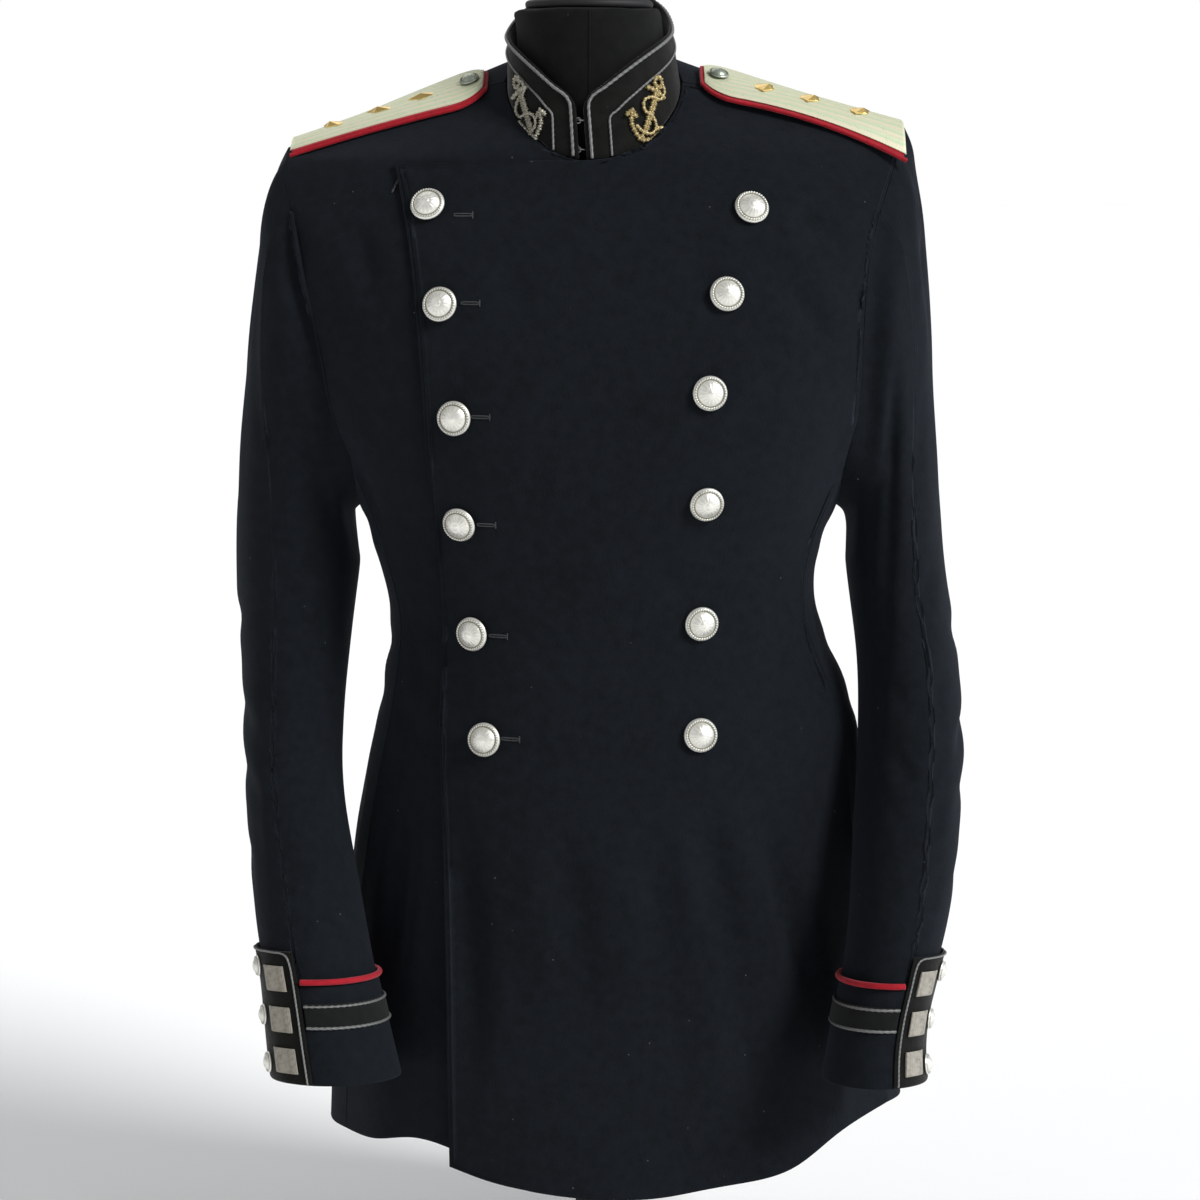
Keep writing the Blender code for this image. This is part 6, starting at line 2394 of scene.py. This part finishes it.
@dataclass
class FormWork:
    """The limbless form in its black cover, its cap and knob, and the stand."""

    finishes: Finishes
    clearance: float = 0.0040
    soft_from: float = 0.918
    soft_rounds: int = 5
    seam: CordMake = CordMake(0.0005, 1, 0.0, 0.01, 0.001, 8)
    seam_across: float = -0.0028
    seam_heights: tuple = (0.845, 0.937)
    seam_points: int = 12
    joins_below: float = math.radians(40)
    drawn_in: tuple = (0.825, 0.885)

    CAP = (
        (0.0400, 0.9387), (0.0420, 0.9389), (0.0435, 0.9396), (0.0442, 0.9408), (0.0444, 0.9420),
        (0.0442, 0.9432), (0.0434, 0.9443), (0.0418, 0.9450), (0.0300, 0.9461), (0.0150, 0.9472),
        (0.0128, 0.9476), (0.0110, 0.9484), (0.0088, 0.9497), (0.0080, 0.9512), (0.0084, 0.9540),
        (0.0098, 0.9568), (0.0109, 0.9592), (0.0111, 0.9615), (0.0106, 0.9640), (0.0094, 0.9664),
        (0.0074, 0.9685), (0.0048, 0.9699), (0.0020, 0.9705),
    )
    CAP_PLACE = (-0.0032, -0.005)
    STAND = (
        (0.1430, 0.0000), (0.1442, 0.0003), (0.1449, 0.0012), (0.1450, 0.0030), (0.1449, 0.0056),
        (0.1444, 0.0068), (0.1432, 0.0080), (0.1410, 0.0092), (0.1370, 0.0101), (0.1000, 0.0121),
        (0.0600, 0.0142), (0.0420, 0.0152), (0.0340, 0.0162), (0.0260, 0.0182), (0.0205, 0.0212),
        (0.0172, 0.0245), (0.0155, 0.0275), (0.0145, 0.0310), (0.0140, 0.0350), (0.0140, 0.1800),
    )
    STAND_PLACE = (0.0, 0.004)

    def build(self) -> None:
        """Builds the form, its cap and its stand."""
        self.body()
        self.cap()
        self.stand()

    def body(self) -> None:
        """A smooth copy of the form, a little smaller inside the tunic."""
        mesh = bmesh.new()
        mesh.from_mesh(frame["nodes"]["form_body"].data)
        bmesh.ops.remove_doubles(mesh, verts=mesh.verts, dist=WELD)
        bmesh.ops.join_triangles(
            mesh, faces=mesh.faces, angle_face_threshold=self.joins_below,
            angle_shape_threshold=math.pi, topology_influence=2.0,
        )
        data = bpy.data.meshes.new("form_cover")
        mesh.to_mesh(data)
        mesh.free()
        obj = linked(data)
        points, normals = coordinates(data), point_normals(data)
        for point, normal in zip(points, normals):
            point -= normal * self.clearance * (1 - fade(point[2], *self.drawn_in))
        move_points(data, points)
        fair_surface(obj, 2, 2)
        self.soften_top(obj)
        turn_outwards(obj)
        hold(obj, self.finishes.jersey, ["form_body"])
        tree = tree_of([obj])
        heights = np.linspace(*self.seam_heights, self.seam_points)
        route = [from_front(tree, self.seam_across, height) for height in heights]
        route = [place for place in route if place is not None]
        seam = self.seam.lay("form_neck_seam", route, tree, 0.5)
        hold(seam, self.finishes.jersey)

    def soften_top(self, obj: Piece) -> None:
        """Rounds the edge of the neck's cut top.

        Args:
            obj: the form's cover.
        """
        mesh = bmesh.new()
        mesh.from_mesh(obj.data)
        top = [vertex for vertex in mesh.verts if vertex.co.z > self.soft_from]
        relax(mesh, top, self.soft_rounds, upright=False)
        mesh.to_mesh(obj.data)
        mesh.free()

    def cap(self) -> None:
        """The neck's cap with its turned knob."""
        obj = turned_piece("form_cap_turned", self.CAP, 72, self.CAP_PLACE)
        hold(obj, self.finishes.paint, ["form_neck_cap"])

    def stand(self) -> None:
        """The round base and its pole, up to the CAD pole's top."""
        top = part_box("form_stand")[1][2]
        profile = (*self.STAND, (0.0140, top - 0.0006), (0.0134, top))
        obj = turned_piece("form_stand_turned", profile, 96, self.STAND_PLACE)
        hold(obj, self.finishes.paint, ["form_stand"])


# --- Studio ---


@dataclass
class Studio:
    """Pale floor, soft lights and the camera."""

    finishes: Finishes
    camera_place: tuple = (0.0043, -2.0681, 0.8867)
    camera_pitch: float = 80.0
    lens: float = 87.5
    surround: float = 0.32
    floor_size: float = 40

    LIGHTS = (
        ("key", (2.0, -1.3, 1.75), 20.0, 2.8, (1.0, 1.0, 1.0)),
        ("fill", (-1.8, -1.2, 0.9), 50.0, 0.22, (1.0, 1.0, 1.0)),
        ("back", (-0.6, 1.6, 1.5), 50.0, 0.6, (1.0, 1.0, 1.0)),
        ("side", (2.4, 0.2, 0.6), 40.0, 0.8, (0.75, 0.85, 1.0)),
    )

    def build(self) -> None:
        """Sets up the studio."""
        self.floor()
        self.lights()
        data = bpy.data.cameras.new("camera")
        data.lens, data.sensor_width = self.lens, 36.0
        camera = bpy.data.objects.new("camera", data)
        camera.location = self.camera_place
        camera.rotation_euler = (math.radians(self.camera_pitch), 0, 0)
        bpy.context.scene.collection.objects.link(camera)
        bpy.context.scene.camera = camera

    def floor(self) -> None:
        """A wide pale floor under the stand."""
        deselect()
        bpy.ops.mesh.primitive_grid_add(x_subdivisions=8, y_subdivisions=8, size=self.floor_size)
        floor = bpy.context.active_object
        floor.name = floor.data.name = "studio_floor"
        floor.data.materials.append(self.finishes.floor)
        floor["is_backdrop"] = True

    def lights(self) -> None:
        """Soft key from the viewer's front right, a fill, a back and a side light, a pale surround."""
        world = bpy.data.worlds.new("surround")
        world.use_nodes = True
        bench = NodeBench(world.node_tree)
        seen = bench.put("ShaderNodeLightPath").outputs["Is Camera Ray"]
        strength = bench.calc("MULTIPLY_ADD", seen, 1.0 - self.surround, self.surround)
        background = world.node_tree.nodes["Background"]
        background.inputs[0].default_value = (1.0, 1.0, 1.0, 1.0)
        world.node_tree.links.new(strength, background.inputs[1])
        bpy.context.scene.world = world
        bpy.context.scene.view_settings.view_transform = "Standard"
        for name, place, spread, strength, tint in self.LIGHTS:
            data = bpy.data.lights.new(name, "SUN")
            data.energy, data.angle, data.color = strength, math.radians(spread), tint
            light = bpy.data.objects.new(name, data)
            light.location = place
            light.rotation_euler = Vector(place).to_track_quat("Z", "Y").to_euler()
            bpy.context.scene.collection.objects.link(light)


def main() -> None:
    """Builds every sub-assembly in order and reports each piece."""
    logging.basicConfig(level=logging.INFO, format="%(message)s")
    finishes = Finishes()
    Studio(finishes).build()
    wool = WoolWork(finishes)
    wool.build()
    FormWork(finishes).build()
    CollarWork(finishes).build()
    tabs = CuffWork(finishes, wool).build()
    buttons = ButtonWork(finishes)
    boards = BoardWork(finishes).build(buttons)
    front = tree_of([wool.shells["front_left"]])
    buttons.build(front, tabs, boards)
    SewingWork(finishes).build(front, tree_of([wool.shells["front_right"]]))
    pieces = [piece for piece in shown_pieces() if piece.type == "MESH" and not piece.hide_render]
    for piece in pieces:
        LOG.info("%s: %d faces", piece.name, len(piece.data.polygons))
    LOG.info("%d pieces", len(pieces))


if __name__ == "__main__":
    main()
